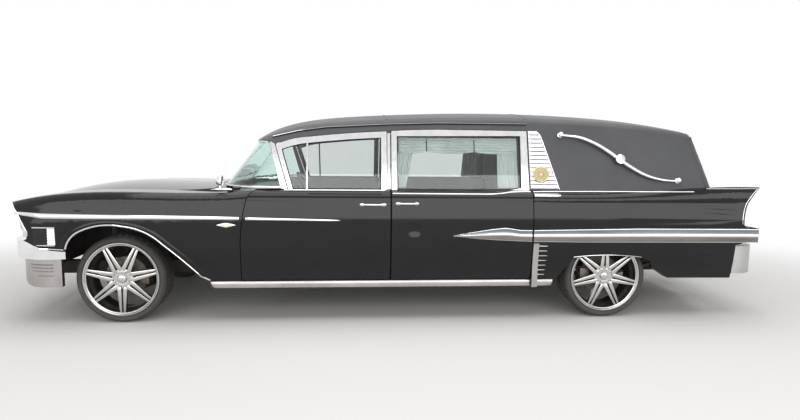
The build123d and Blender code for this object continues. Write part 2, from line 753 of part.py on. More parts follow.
for column in range(GRILLE_COLUMNS):
    y = -mesh_half + (column + 1) * column_pitch - GRILLE_BAR / 2
    grille = grille + block(GRILLE_FRONT + 8, GRILLE_BACK - 16, y, y + GRILLE_BAR,
                            mesh_bottom - GRILLE_SINK, mesh_top + GRILLE_SINK)
save("grille", grille)
radiator = block(GRILLE_BACK + FIT_GAP, GRILLE_BACK + 50, -GRILLE_HALF, GRILLE_HALF,
                 RAIL_TOP, GRILLE_TOP - 10)
save("radiator_support", radiator)

# Headlamps: panel with two bezels, each round a domed lens
LAMP_PANEL_X = -716
LAMP_PANEL_DEPTH = 40
LAMP_BEZEL_X = -748
LAMP_LENS_X = -740
LAMP_LENS_BULGE = 30
lamp_panel = along([
    (GRILLE_HALF + FIT_GAP, 692), (922, 700), (914, 860), (868, 905), (GRILLE_HALF + FIT_GAP, 905),
], LAMP_PANEL_X, LAMP_PANEL_X + LAMP_PANEL_DEPTH)
lamps = lamp_panel
for y in LAMP_YS:
    bezel_depth = LAMP_PANEL_X + 12 - LAMP_BEZEL_X
    bezel = Pos(LAMP_BEZEL_X + bezel_depth / 2, y, LAMP_Z) * Cylinder(
        LAMP_RADIUS + LAMP_RIM, bezel_depth, rotation=(0, 90, 0))
    lens = Pos(0, y, LAMP_Z) * rounded_boss(LAMP_LENS_X, LAMP_RADIUS - 4, LAMP_LENS_BULGE, -1)
    lamps = lamps + bezel + lens
save("headlamps", both(lamps))

# Rear bumper and tail lamps
REAR_BAR_END_X = QUARTER_REAR_X + 5
REAR_BAR_FACE_X = REAR_END - 28
REAR_BAR_CENTRE_X = REAR_END - 14
rear_bar_plan = bumper_plan(1, REAR_BAR_END_X, 965, REAR_BAR_FACE_X, REAR_BAR_CENTRE_X, REAR_END - 100, 860,
                            BUMPER_WALL)
rear_bar = upward(rear_bar_plan, 385, 622)
rear_bar = rear_bar & across([
    (REAR_BAR_END_X, 385), (REAR_BAR_END_X, 622), (REAR_BAR_FACE_X, 622),
    (REAR_END, 590, REAR_END - 6, 612), (REAR_END, 430), (REAR_END - 40, 385, REAR_END - 10, 395),
], -1000, 1000)
REAR_GUARD_Y = 340
REAR_GUARD_HALF = 34
REAR_GUARD_TOP = TAILGATE_BOTTOM - 8
REAR_GUARD_FOOT = 400
for y in (-REAR_GUARD_Y, REAR_GUARD_Y):
    rear_bar = rear_bar + across([
        (REAR_END - 50, REAR_GUARD_FOOT), (REAR_END - 14, REAR_GUARD_FOOT),
        (REAR_END, REAR_GUARD_FOOT + 40, REAR_END - 4, REAR_GUARD_FOOT + 15),
        (REAR_END, REAR_GUARD_TOP - 30),
        (REAR_END - 16, REAR_GUARD_TOP, REAR_END - 3, REAR_GUARD_TOP - 10),
        (REAR_END - 50, REAR_GUARD_TOP),
    ], y - REAR_GUARD_HALF, y + REAR_GUARD_HALF)
save("bumper_rear", rear_bar)

LAMP_POD_Z = 716
LAMP_POD_Y = 938
TAIL_LAMP_RADIUS = 48
TAIL_LAMP_DEPTH = 28
tail_lamp = rounded_boss(POD_END_X + FIT_GAP, TAIL_LAMP_RADIUS, TAIL_LAMP_DEPTH, 1)
save("tail_lamps", both(Pos(0, LAMP_POD_Y, LAMP_POD_Z) * tail_lamp))

# Landau panel and bar on the roof's rear quarter
LANDAU_FRONT = REAR_DOOR_REAR - 1
LANDAU_FOOT = 1087
LANDAU_THICKNESS = 10
LANDAU_PANEL = [
    (LANDAU_FRONT, 1565), (LANDAU_FRONT + 65, 1566), (LANDAU_FRONT + 107, 1527),
    (LANDAU_FRONT + 243, LANDAU_FOOT), (LANDAU_FRONT, LANDAU_FOOT),
]
panel = along(plane_strip(-LANDAU_THICKNESS - FIT_GAP, -FIT_GAP, LANDAU_FOOT - 2, 1570),
              LANDAU_FRONT - 12, LANDAU_FRONT + 258)
panel = panel & across(LANDAU_PANEL, 600, 1000)
save("landau_panels", both(panel))

BAR_RADIUS = 13
BAR_STANDOFF = 34


def on_plane(x, z, standoff):
    """Point at a distance outside the sloping window plane."""
    return (x, skin_y(z) + standoff, z)


BAR_MIDDLE = (WHEELBASE + 99, 1332)
BAR_FRONT = (BAR_MIDDLE[0] - 495, 1533)
BAR_REAR = (BAR_MIDDLE[0] + 494, 1162)
upper_arc = ThreePointArc(on_plane(*BAR_FRONT, BAR_STANDOFF),
                          on_plane(BAR_MIDDLE[0] - 235, 1490, BAR_STANDOFF),
                          on_plane(*BAR_MIDDLE, BAR_STANDOFF))
lower_arc = ThreePointArc(on_plane(*BAR_MIDDLE, BAR_STANDOFF),
                          on_plane(BAR_MIDDLE[0] + 235, 1198, BAR_STANDOFF),
                          on_plane(*BAR_REAR, BAR_STANDOFF))
landau_bar = None
for arc in (upper_arc, lower_arc):
    profile = Plane(origin=arc @ 0, z_dir=arc % 0) * Circle(BAR_RADIUS)
    piece = sweep(profile, path=arc)
    landau_bar = piece if landau_bar is None else landau_bar + piece
tilt = math.degrees(math.atan(TUMBLEHOME))
knob_offset = (BAR_STANDOFF / 2 + FIT_GAP) / math.cos(math.atan(TUMBLEHOME))
KNOB_INSET = 9
# Place of each knob as (x, z), and its radius
BAR_KNOBS = [
    (BAR_FRONT[0] + KNOB_INSET, BAR_FRONT[1] - 1, 20),
    (BAR_MIDDLE[0], BAR_MIDDLE[1], 44),
    (BAR_REAR[0] - KNOB_INSET, BAR_REAR[1], 20),
]
for x, z, radius in BAR_KNOBS:
    knob = Cylinder(radius, BAR_STANDOFF, rotation=(90, 0, 0))
    knob = Pos(*on_plane(x, z, knob_offset)) * Rot(tilt, 0, 0) * knob
    landau_bar = landau_bar + knob
save("landau_bars", both(landau_bar))

# Wheels and tyres


def turned(points):
    """Solid turned about Y from an outline (radius, y)."""
    return revolve(Face(outline(points, lambda r, y: (r, y, 0))), axis=Axis.Y)


def make_tyre():
    """Low tyre with a rounded shoulder and a slightly bulged side."""
    half = TYRE_WIDTH / 2
    bead = RIM_HALF_WIDTH - LIP_THICKNESS - FIT_GAP
    inner = BEAD_RADIUS + FIT_GAP
    return turned([
        (inner, -bead),
        (RIM_LIP_RADIUS + 2, -bead),
        (TYRE_RADIUS - 22, -half + 4, RIM_LIP_RADIUS + 16, -half),
        (TYRE_RADIUS - 2, -half + 30, TYRE_RADIUS - 7, -half + 14),
        (TYRE_RADIUS - 2, half - 30, TYRE_RADIUS, 0),
        (TYRE_RADIUS - 22, half - 4, TYRE_RADIUS - 7, half - 14),
        (RIM_LIP_RADIUS + 2, bead, RIM_LIP_RADIUS + 16, half),
        (inner, bead),
    ])


def make_wheel():
    """Alloy wheel: stepped barrel, hub, pairs of spokes and a brake disc. Its face looks to +Y."""
    lip_in = RIM_HALF_WIDTH - LIP_THICKNESS
    t = BARREL_THICKNESS
    barrel = turned([
        (RIM_LIP_RADIUS, RIM_HALF_WIDTH),
        (RIM_LIP_RADIUS, lip_in),
        (BEAD_RADIUS, lip_in),
        (BEAD_RADIUS, 60),
        (BEAD_RADIUS - 18, 30),
        (BEAD_RADIUS - 18, -70),
        (BEAD_RADIUS, -90),
        (BEAD_RADIUS, -lip_in),
        (RIM_LIP_RADIUS, -lip_in),
        (RIM_LIP_RADIUS, -RIM_HALF_WIDTH),
        (BEAD_RADIUS - t, -RIM_HALF_WIDTH),
        (BEAD_RADIUS - t - 18, -70),
        (BEAD_RADIUS - t - 18, 30),
        (BEAD_RADIUS - t, 60),
        (BEAD_RADIUS - t, RIM_HALF_WIDTH - 12),
        (BEAD_RADIUS + 4, RIM_HALF_WIDTH),
    ])
    hub = turned([(0, 62), (HUB_RADIUS + 10, 62), (HUB_RADIUS, 92), (40, 98), (34, 108), (0, 108)])
    wheel = barrel + hub
    spoke_foot = HUB_RADIUS - 14
    spoke_tip = BEAD_RADIUS - BARREL_THICKNESS + SPOKE_SINK
    for index in range(SPOKE_COUNT):
        for spread in (-1, 1):
            spoke = across([
                (SLOT_FOOT * spread, spoke_foot),
                (SPOKE_FOOT * spread, spoke_foot),
                (SPOKE_TIP * spread, spoke_tip),
                (SLOT_TIP * spread, spoke_tip),
            ], SPOKE_BACK, SPOKE_FACE)
            wheel = wheel + Rot(0, index * 360 / SPOKE_COUNT, 0) * spoke
    carrier = rod_along_y(0, 0, HUB_RADIUS, 0, 64)
    disc = rod_along_y(0, 0, DISC_RADIUS, -DISC_THICKNESS, 0)
    wheel = wheel + carrier + disc
    for index in range(LUG_COUNT):
        angle = math.radians(-90 + index * 360 / LUG_COUNT)
        x = LUG_CIRCLE / 2 * math.cos(angle)
        z = LUG_CIRCLE / 2 * math.sin(angle)
        wheel = wheel - rod_along_y(x, z, LUG_HOLE_RADIUS, 80, 120)
    wheel = wheel - rod_along_y(0, 0, SPINDLE_RADIUS + SPINDLE_CLEARANCE, -DISC_THICKNESS - 5, 40)
    return wheel


tyre = make_tyre()
wheel = make_wheel()
for end, x, turn in (("front", 0, FRONT_WHEEL_TURN), ("rear", WHEELBASE, 0)):
    place = Pos(x, WHEEL_MID_Y, AXLE_Z) * Rot(0, turn, 0)
    save(f"tyre_{end}_right", place * tyre)
    save(f"wheel_{end}_right", place * wheel)
    save(f"tyre_{end}_left", left_of(place * tyre))
    save(f"wheel_{end}_left", left_of(place * wheel))

# Steering knuckles and front suspension
DISC_BACK_Y = WHEEL_MID_Y - DISC_THICKNESS
KNUCKLE_FACE_Y = DISC_BACK_Y - 6
KINGPIN_Y = KNUCKLE_FACE_Y - 30
KNUCKLE_LOW = AXLE_Z - 120
KNUCKLE_HIGH = AXLE_Z + 130
STUD_RADIUS = 12
STUD_DEPTH = 24
knuckle = block(-42, 42, KNUCKLE_FACE_Y - 60, KNUCKLE_FACE_Y, KNUCKLE_LOW, KNUCKLE_HIGH)
knuckle = knuckle + rod_along_y(0, AXLE_Z, SPINDLE_RADIUS, KNUCKLE_FACE_Y - 5, WHEEL_MID_Y + 34)
caliper_arm = block(60, 150, KNUCKLE_FACE_Y - 50, KNUCKLE_FACE_Y, AXLE_Z - 40, AXLE_Z + 40)
caliper_link = block(30, 70, KNUCKLE_FACE_Y - 45, KNUCKLE_FACE_Y, AXLE_Z - 30, AXLE_Z + 30)
knuckle = knuckle + caliper_arm + caliper_link
for z in (KNUCKLE_LOW, KNUCKLE_HIGH):
    knuckle = knuckle - Pos(0, KINGPIN_Y, z) * Cylinder(STUD_RADIUS + SPINDLE_CLEARANCE, STUD_DEPTH * 2)
save("knuckle_right", knuckle)
save("knuckle_left", left_of(knuckle))

ARM_GAP = 5


def control_arm(z, thickness):
    """Triangular arm from the frame rail to the knuckle."""
    tip = KINGPIN_Y + 20
    return upward([
        (-130, RAIL_OUTER_Y + FIT_GAP), (130, RAIL_OUTER_Y + FIT_GAP), (30, tip), (-30, tip),
    ], z, z + thickness)


LOWER_ARM_THICKNESS = 24
UPPER_ARM_THICKNESS = 22
lower_arm = control_arm(KNUCKLE_LOW - ARM_GAP - LOWER_ARM_THICKNESS, LOWER_ARM_THICKNESS)
lower_arm = lower_arm + Pos(0, KINGPIN_Y, KNUCKLE_LOW) * Cylinder(STUD_RADIUS, STUD_DEPTH * 2 - 8)
upper_arm = control_arm(KNUCKLE_HIGH + ARM_GAP, UPPER_ARM_THICKNESS)
upper_arm = upper_arm + Pos(0, KINGPIN_Y, KNUCKLE_HIGH) * Cylinder(STUD_RADIUS, STUD_DEPTH * 2 - 8)
tower = block(-140, 140, RAIL_OUTER_Y + FIT_GAP, RAIL_OUTER_Y + 60, AXLE_Z - 60, AXLE_Z + 170)
lower_mount = block(-140, 140, RAIL_OUTER_Y + FIT_GAP, RAIL_OUTER_Y + 60, AXLE_Z - 150, AXLE_Z - 60)
save("front_suspension", both(lower_arm + upper_arm + tower + lower_mount))

# Rear axle with its springs, and the propeller shaft
SHAFT_RADIUS = 30
SHAFT_Z = 376
axle_end = WHEEL_MID_Y - DISC_THICKNESS - 6
axle = rod_along_y(WHEELBASE, AXLE_Z, 42, -axle_end, axle_end)
axle = axle + rod_along_y(WHEELBASE, AXLE_Z, SPINDLE_RADIUS, -WHEEL_MID_Y - 34, WHEEL_MID_Y + 34)
axle = axle + Pos(WHEELBASE, 0, AXLE_Z) * Sphere(150)
SHAFT_FRONT = 1750
SHAFT_REAR = WHEELBASE - 100
shaft = Cylinder(SHAFT_RADIUS, SHAFT_REAR - SHAFT_FRONT, rotation=(0, 90, 0))
axle = axle + Pos((SHAFT_FRONT + SHAFT_REAR) / 2, 0, SHAFT_Z) * shaft
SPRING_Y = 455
SPRING_FRONT = WHEELBASE - 662
SPRING_REAR = WHEELBASE + 678
spring = across([
    (SPRING_FRONT, 385), (SPRING_FRONT + 340, 290, SPRING_FRONT + 170, 330),
    (SPRING_REAR - 350, 290, WHEELBASE, 270), (SPRING_REAR, 385, SPRING_REAR - 170, 330),
    (SPRING_REAR, 410), (SPRING_REAR - 360, 312, SPRING_REAR - 180, 352),
    (SPRING_FRONT + 350, 312, WHEELBASE, 294), (SPRING_FRONT, 410, SPRING_FRONT + 180, 352),
], SPRING_Y - 35, SPRING_Y + 35)
spring_seat = block(WHEELBASE - 60, WHEELBASE + 60, SPRING_Y - 40, SPRING_Y + 40, 284, AXLE_Z)
for side_spring in both(spring + spring_seat):
    axle = axle + side_spring
save("rear_axle", axle)

# Frame
BRACKET_FRONT = -784
BRACKET_REAR = REAR_BAR_CENTRE_X - BUMPER_WALL - 3.2
KICK_FRONT = WHEELBASE - 402
KICK_REAR = WHEELBASE + 418
KICK_RUN = 160
KICK_BOTTOM = 470
KICK_TOP = 570
BRACKET_LENGTH = 128
rail = across([
    (BRACKET_FRONT, RAIL_BOTTOM), (KICK_FRONT, RAIL_BOTTOM), (KICK_FRONT + KICK_RUN, KICK_BOTTOM),
    (KICK_REAR - KICK_RUN, KICK_BOTTOM), (KICK_REAR, RAIL_BOTTOM),
    (BRACKET_REAR - BRACKET_LENGTH, RAIL_BOTTOM), (BRACKET_REAR, 350), (BRACKET_REAR, 415),
    (BRACKET_REAR - BRACKET_LENGTH, RAIL_TOP), (KICK_REAR + 40, RAIL_TOP),
    (KICK_REAR + 40 - KICK_RUN, KICK_TOP), (KICK_FRONT - 40 + KICK_RUN, KICK_TOP),
    (KICK_FRONT - 40, RAIL_TOP), (BRACKET_FRONT, RAIL_TOP),
], RAIL_INNER_Y, RAIL_OUTER_Y)
rail = rail + block(BRACKET_FRONT, BRACKET_FRONT + 40, RAIL_INNER_Y, RAIL_OUTER_Y, RAIL_TOP - 20, 470)
for x in (800, 1900, 3000, WHEELBASE + 638):
    rail = rail + block(x - 30, x + 30, RAIL_INNER_Y + 15, RAIL_OUTER_Y - 15,
                        RAIL_TOP - 5, FLOOR_Z - FIT_GAP)
frame = rail + left_of(rail)
for x in (-600, 640, 1500, 2500, WHEELBASE - 662, WHEELBASE + 1078):
    frame = frame + block(x - 40, x + 40, -RAIL_INNER_Y - 2, RAIL_INNER_Y + 2, RAIL_BOTTOM, RAIL_BOTTOM + 50)
save("chassis_frame", frame)

# Floor with the sills under the doors and the raised box over the rear axle
FLOOR_TOP = FLOOR_Z + FLOOR_THICKNESS
BOX_FRONT = WHEELBASE - 478
BOX_REAR = WHEELBASE + 514
BOX_TOP = 596
BOX_WALL = 16
FLOOR_FRONT = HOOD_REAR
FLOOR_REAR = WHEELBASE + 1028
FLOOR_HALF = WALL_INNER_Y - 12
SILL_REAR = WHEELBASE - 472
floor = block(FLOOR_FRONT, FLOOR_REAR, -DECK_HALF, DECK_HALF, FLOOR_Z, FLOOR_TOP)
floor = floor + block(FRONT_DOOR_FRONT + 7, WHEELBASE - 562, -FLOOR_HALF, FLOOR_HALF, FLOOR_Z, FLOOR_TOP)
floor = floor + block(BOX_FRONT, BOX_REAR, -DECK_HALF, DECK_HALF, FLOOR_Z, BOX_TOP)
floor = floor - block(BOX_FRONT + BOX_WALL, BOX_REAR - BOX_WALL, -DECK_HALF + BOX_WALL, DECK_HALF - BOX_WALL,
                      FLOOR_Z - 10, BOX_TOP - BOX_WALL)
SILL_FOOT = 282
SILL_FACE_Y = SILL_Y - 3
SILL_PANEL = [
    (FLOOR_HALF - 52, SILL_FOOT), (SILL_FACE_Y - 12, SILL_FOOT), (SILL_FACE_Y, 300, SILL_FACE_Y - 2, 288),
    (SILL_FACE_Y, SILL_Z - FIT_GAP), (FLOOR_HALF, SILL_Z - FIT_GAP), (FLOOR_HALF, FLOOR_Z + 1),
    (FLOOR_HALF - 52, FLOOR_Z + 1),
]
sill = along(SILL_PANEL, FLOOR_FRONT + HOOD_GAP, SILL_REAR)
save("floor_pan", floor + sill + left_of(sill))

# Loading deck with rollers and holes for the bier pins
deck = block(DECK_FRONT, DECK_REAR, -DECK_HALF, DECK_HALF, DECK_Z, DECK_Z + DECK_THICKNESS)
for x in (DECK_FRONT + 10, PIN_HOLE_X, WHEELBASE + 638):
    deck = deck + block(x, x + 16, -DECK_HALF + 10, DECK_HALF - 10, FLOOR_Z + FLOOR_THICKNESS, DECK_Z + 1)
for y in (-PIN_HOLE_Y, PIN_HOLE_Y):
    deck = deck - Pos(PIN_HOLE_X - 60, y, DECK_Z) * Cylinder(BIER_PIN_RADIUS, 80)
save("loading_deck", deck)
ROLLER_COUNT = 6
ROLLER_RADIUS = 13.7
ROLLER_HALF = 150
ROLLER_FRONT = DECK_FRONT + 250
ROLLER_STEP = (DECK_REAR - 300 - ROLLER_FRONT) / (ROLLER_COUNT - 1)
roller_z = DECK_Z + DECK_THICKNESS + FIT_GAP + ROLLER_RADIUS
rollers = []
for index in range(ROLLER_COUNT):
    x = ROLLER_FRONT + index * ROLLER_STEP
    rollers.append(rod_along_y(x, roller_z, ROLLER_RADIUS, -ROLLER_HALF, ROLLER_HALF))
save("deck_rollers", rollers)

# Rear wheelhouses
house = rod_along_y(WHEELBASE, AXLE_Z, WHEELHOUSE_RADIUS + WHEELHOUSE_THICKNESS, WHEELHOUSE_INNER_Y,
                    WALL_INNER_Y - FIT_GAP)
house = house - rod_along_y(WHEELBASE, AXLE_Z, WHEELHOUSE_RADIUS, WHEELHOUSE_INNER_Y + WHEELHOUSE_THICKNESS,
                            WALL_INNER_Y + 10)
house = house & block(WHEELBASE - 500, WHEELBASE + 500, WHEELHOUSE_INNER_Y, WALL_INNER_Y, 560, 900)
save("wheelhouses", both(house))

# Centre pillars between the doors
post_upper = along(plane_strip(POST_SETBACK, POST_SETBACK + POST_THICKNESS, BELT_Z - 12, 1640),
                   POST_FRONT + 5, POST_REAR - 5)
post_upper = post_upper & roof_tunnel(ROOF_WALL + FIT_GAP)
post_lower = block(DOOR_SPLIT - 50, DOOR_SPLIT + 50, 815, WALL_INNER_Y - FIT_GAP, FLOOR_TOP, BELT_Z - 1)
save("centre_pillars", both(post_upper + post_lower))

# Engine, tank and exhaust
ENGINE_HALF = 230
engine = block(-260, 420, -ENGINE_HALF, ENGINE_HALF, 350, 880)
engine = engine + block(60, 140, -RAIL_INNER_Y + FIT_GAP, RAIL_INNER_Y - FIT_GAP, 355, 395)
save("engine_block", engine)
TANK_FRONT = WHEELBASE + 538
save("fuel_tank", block(TANK_FRONT, TANK_FRONT + 440, -270, 150, 300, FLOOR_Z - FIT_GAP))

PIPE_RADIUS = 24
PIPE_Y = 215
PIPE_Z = FLOOR_Z - FIT_GAP - PIPE_RADIUS
PIPE_REAR_Z = 372
PIPE_OVER_AXLE_Z = 440
PIPE_BEND = 90
pipe_path = FilletPolyline(
    (440, PIPE_Y, PIPE_Z), (WHEELBASE - 442, PIPE_Y, PIPE_Z), (WHEELBASE - 262, PIPE_Y, PIPE_OVER_AXLE_Z),
    (WHEELBASE + 288, PIPE_Y, PIPE_OVER_AXLE_Z), (WHEELBASE + 478, PIPE_Y, PIPE_REAR_Z),
    (REAR_END - 65, PIPE_Y, PIPE_REAR_Z), radius=PIPE_BEND)
exhaust = sweep(Plane(origin=pipe_path @ 0, z_dir=pipe_path % 0) * Circle(PIPE_RADIUS), path=pipe_path)
save("exhaust", exhaust)

# Cabin
SEAT_HALF = 640
SEAT_FRONT = 1560
SEAT_REAR = 2110
CUSHION_TOP = 760
seat_base = across([
    (SEAT_FRONT, FLOOR_TOP), (SEAT_REAR - 20, FLOOR_TOP), (SEAT_REAR, CUSHION_TOP - 60),
    (SEAT_FRONT, CUSHION_TOP, 1800, CUSHION_TOP + 5),
], -SEAT_HALF, SEAT_HALF)
seat_back = across([
    (SEAT_REAR - 120, CUSHION_TOP - 70), (SEAT_REAR + 40, CUSHION_TOP - 70), (SEAT_REAR + 120, 1130),
    (SEAT_REAR + 20, 1150),
], -SEAT_HALF, SEAT_HALF)
save("front_seat", seat_base + seat_back)

STEERING_X = 1450
STEERING_Y = -380
STEERING_Z = 1010
COLUMN_ANGLE = 58
BOSS_DEPTH = 60
BOSS_RADIUS = 24
COLUMN_LENGTH = 300
COLUMN_RADIUS = 22
DASH_HALF = 640
DASH_REAR = 1250
dash_front = FIREWALL_REAR + FIT_GAP
dash = across([
    (dash_front, 930), (960, 900), (DASH_REAR - 10, 880), (DASH_REAR, 960),
    (DASH_REAR - 130, 1052, DASH_REAR - 40, 1040), (dash_front, 1036),
], -DASH_HALF, DASH_HALF)
column_place = Pos(STEERING_X, STEERING_Y, STEERING_Z) * Rot(0, COLUMN_ANGLE, 0)
column_middle = -BOSS_DEPTH - FIT_GAP - COLUMN_LENGTH / 2
column = column_place * Pos(0, 0, column_middle) * Cylinder(COLUMN_RADIUS, COLUMN_LENGTH)
save("dashboard", dash + column)

RING_RADIUS = 200
RING_GRIP = 13
wheel_ring = Torus(RING_RADIUS, RING_GRIP)
wheel_spokes = Box(RING_RADIUS * 2, 34, 12) + Cylinder(42, 30)
wheel_spokes = wheel_spokes + Pos(0, 0, -BOSS_DEPTH / 2) * Cylinder(BOSS_RADIUS, BOSS_DEPTH)
save("steering_wheel", column_place * Rot(0, 0, 90) * (wheel_ring + wheel_spokes))
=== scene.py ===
import json
import math
from contextlib import contextmanager

import bpy
import bmesh
from bpy.props import FloatProperty, FloatVectorProperty, IntProperty, PointerProperty
from mathutils import Matrix, Vector, noise
from mathutils.bvhtree import BVHTree

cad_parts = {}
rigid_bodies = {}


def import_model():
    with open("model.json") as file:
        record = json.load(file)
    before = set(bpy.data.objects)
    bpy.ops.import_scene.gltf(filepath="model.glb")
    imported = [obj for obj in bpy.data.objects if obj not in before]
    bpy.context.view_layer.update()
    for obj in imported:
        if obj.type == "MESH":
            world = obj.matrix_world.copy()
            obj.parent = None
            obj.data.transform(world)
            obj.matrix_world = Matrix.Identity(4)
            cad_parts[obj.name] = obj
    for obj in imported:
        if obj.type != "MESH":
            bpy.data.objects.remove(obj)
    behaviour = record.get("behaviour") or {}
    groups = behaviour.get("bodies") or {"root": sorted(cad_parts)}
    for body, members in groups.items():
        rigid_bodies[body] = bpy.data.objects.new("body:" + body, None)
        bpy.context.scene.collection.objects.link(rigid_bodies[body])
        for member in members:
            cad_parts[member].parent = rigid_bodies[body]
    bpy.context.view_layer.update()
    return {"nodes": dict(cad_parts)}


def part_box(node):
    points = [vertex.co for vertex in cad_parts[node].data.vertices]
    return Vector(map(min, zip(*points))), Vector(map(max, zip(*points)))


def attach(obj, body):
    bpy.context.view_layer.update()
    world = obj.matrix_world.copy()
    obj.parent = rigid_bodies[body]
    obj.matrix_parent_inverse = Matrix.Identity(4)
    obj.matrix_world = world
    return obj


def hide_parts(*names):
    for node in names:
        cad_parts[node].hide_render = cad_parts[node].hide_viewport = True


bl_info = {
    "name": "Finned hearse dressing",
    "version": (1, 0, 0),
    "blender": (4, 5, 0),
    "location": "View3D > Sidebar > Hearse",
    "description": "Paint, bright trim, glass, curtains, cabin and wheels for a long finned hearse",
    "category": "Object",
}

for leftover in list(bpy.data.objects):
    bpy.data.objects.remove(leftover)
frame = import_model()
nodes = frame["nodes"]

MM = 0.001
LEFT = -1
HUB_LOW, HUB_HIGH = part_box("wheel_front_left")
FRONT_AXLE_X = (HUB_LOW.x + HUB_HIGH.x) / 2
WHEELBASE = (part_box("wheel_rear_left")[0].x - HUB_LOW.x) / MM
GLASS_BASE_Z = 1080
GLASS_BASE_Y = 903
TUMBLEHOME = 0.295
WINDSHIELD_FOOT_Z = 1101
WINDSHIELD_RISE = 363
OUTWARD = Vector((0, -1, 0))
INWARD = Vector((0, 1, 0))
FORWARD = Vector((-1, 0, 0))
REARWARD = Vector((1, 0, 0))
UPWARD = Vector((0, 0, 1))
BESIDE_Y = 1300
EDGE_HALF = 0.95
DOOR_SKIN_Y = -940


# Sizes and colours that a user may change

def colour(name, description, default):
    """Colour that a user may change."""
    return FloatVectorProperty(name=name, description=description, subtype="COLOR", size=3, min=0, max=1,
                               default=default)


def amount(name, description, low, high, default, **settings):
    """Number that a user may change."""
    return FloatProperty(name=name, description=description, min=low, max=high, default=default, **settings)


class HearsePaint(bpy.types.PropertyGroup):
    """Colours of the outside."""
    body_colour: colour("Body colour", "Gloss paint of the body", (0.0045, 0.0045, 0.005))
    roof_colour: colour("Roof colour", "Satin cover of the roof", (0.030, 0.031, 0.035))
    bright_colour: colour("Bright metal", "Chrome and stainless trim", (0.80, 0.80, 0.81))
    alloy_colour: colour("Wheel metal", "Machined faces of the wheels", (0.66, 0.66, 0.65))


class HearseCabin(bpy.types.PropertyGroup):
    """Colours and cloth of the inside."""
    curtain_colour: colour("Curtain colour", "Pleated cloth in the rear door windows", (0.70, 0.75, 0.72))
    seat_colour: colour("Seat colour", "Hide of the bench seat", (0.030, 0.030, 0.032))
    lining_colour: colour("Lining colour", "Cloth of the headliner and the door linings", (0.33, 0.34, 0.34))
    fold_depth: amount("Fold depth", "Depth of the curtain folds", 0.002, 0.014, 0.009,
                       subtype="DISTANCE", unit="LENGTH")
    drape_folds: IntProperty(name="Drape folds", description="Folds in one side drape", min=2, max=8,
                             default=4)


class HearseStage(bpy.types.PropertyGroup):
    """Floor, light and camera."""
    floor_colour: colour("Floor colour", "Plain pale floor", (0.62, 0.61, 0.60))
    sky_light: amount("Sky light", "Strength of the even light from all sides", 0, 3, 0.48)
    key_light: amount("Key light", "Power of the large lamp overhead", 0, 5000, 330, unit="POWER")
    fill_light: amount("Fill light", "Power of the long lamp beside the car", 0, 5000, 620, unit="POWER")
    lens: amount("Lens", "Focal length of the camera in millimetres", 10, 200, 25.97, unit="CAMERA")


# Places

def spot(x, y, z):
    """Point given in millimetres: x behind the front axle, y to the right, z above the ground."""
    return Vector((FRONT_AXLE_X + x * MM, y * MM, z * MM))


def window_y(z, out=0.0):
    """Half width, in millimetres, of the sloping window plane at a height."""
    return GLASS_BASE_Y - TUMBLEHOME * (z - GLASS_BASE_Z) + out


def on_window(x, z, out):
    """Place on the left window plane, some millimetres outside it."""
    return spot(x, -window_y(z, out), z)


WINDOW_OUT = Vector((0, -1, TUMBLEHOME)).normalized()
GLASS_OUT = Vector((-0.784, 0, 0.622))


def on_glass(y, z, out):
    """Place on the middle of the windshield, some millimetres outside it."""
    share = (z - WINDSHIELD_FOOT_Z) / WINDSHIELD_RISE
    foot, head = 748 + 24 * (y / 470) ** 2, 1036 + 16 * (y / 420) ** 2
    return spot(foot * (1 - share) + head * share, y, z) + GLASS_OUT * out * MM


def bow(entries, steps=10):
    """Points (x, z) along straight runs and arcs. An entry is a corner, or an arc (x, z, mid x, mid z)."""
    points = [Vector(entries[0][:2])]
    for entry in entries[1:]:
        end = Vector(entry[:2])
        if len(entry) == 2:
            points.append(end)
            continue
        start, middle = points[-1].copy(), Vector(entry[2:])
        a, b = middle - start, end - start
        cross = 2 * (a.x * b.y - a.y * b.x)
        ux = (b.y * a.length_squared - a.y * b.length_squared) / cross
        uy = (a.x * b.length_squared - b.x * a.length_squared) / cross
        centre = start + Vector((ux, uy))
        first = math.atan2(start.y - centre.y, start.x - centre.x)
        sweep = math.atan2(end.y - centre.y, end.x - centre.x) - first
        passing = math.atan2(middle.y - centre.y, middle.x - centre.x) - first
        turn = 2 * math.pi
        sweep, passing = sweep % turn, passing % turn
        if passing > sweep:
            sweep -= turn
        radius = (start - centre).length
        for step in range(1, steps + 1):
            angle = first + sweep * step / steps
            points.append(centre + radius * Vector((math.cos(angle), math.sin(angle))))
    return points


def resampled(points, spacing):
    """The same run of points with more put in, so that none are further apart than the spacing."""
    out = [points[0]]
    for last, here in zip(points, points[1:]):
        count = max(1, math.ceil((here - last).length / spacing))
        for step in range(1, count + 1):
            out.append(last.lerp(here, step / count))
    return out


def skin_of(*names):
    """Search tree of the outside of some frame nodes."""
    corners, faces = [], []
    for name in names:
        mesh = nodes[name].data
        first = len(corners)
        corners += [v.co.copy() for v in mesh.vertices]
        faces += [[first + i for i in p.vertices] for p in mesh.polygons]
    return BVHTree.FromPolygons(corners, faces)


def touch(skin, x, z, side):
    """Where a level line from the car's side meets the skin, or None."""
    hit, normal, _, _ = skin.ray_cast(spot(x, side * BESIDE_Y, z), Vector((0, -side, 0)), 0.8)
    return hit, normal


def laid(skin, x, z, height, last):
    """Place some millimetres over the left skin, and the half width there. Past its edge the last one stays."""
    hit, _ = touch(skin, x, z, LEFT)
    half = -hit.y if hit is not None else last
    return Vector((FRONT_AXLE_X + x * MM, -half - height * MM, z * MM)), half


# Modelling

def deselect():
    """Object mode with nothing selected."""
    if bpy.context.mode != "OBJECT":
        bpy.ops.object.mode_set(mode="OBJECT")
    bpy.ops.object.select_all(action="DESELECT")


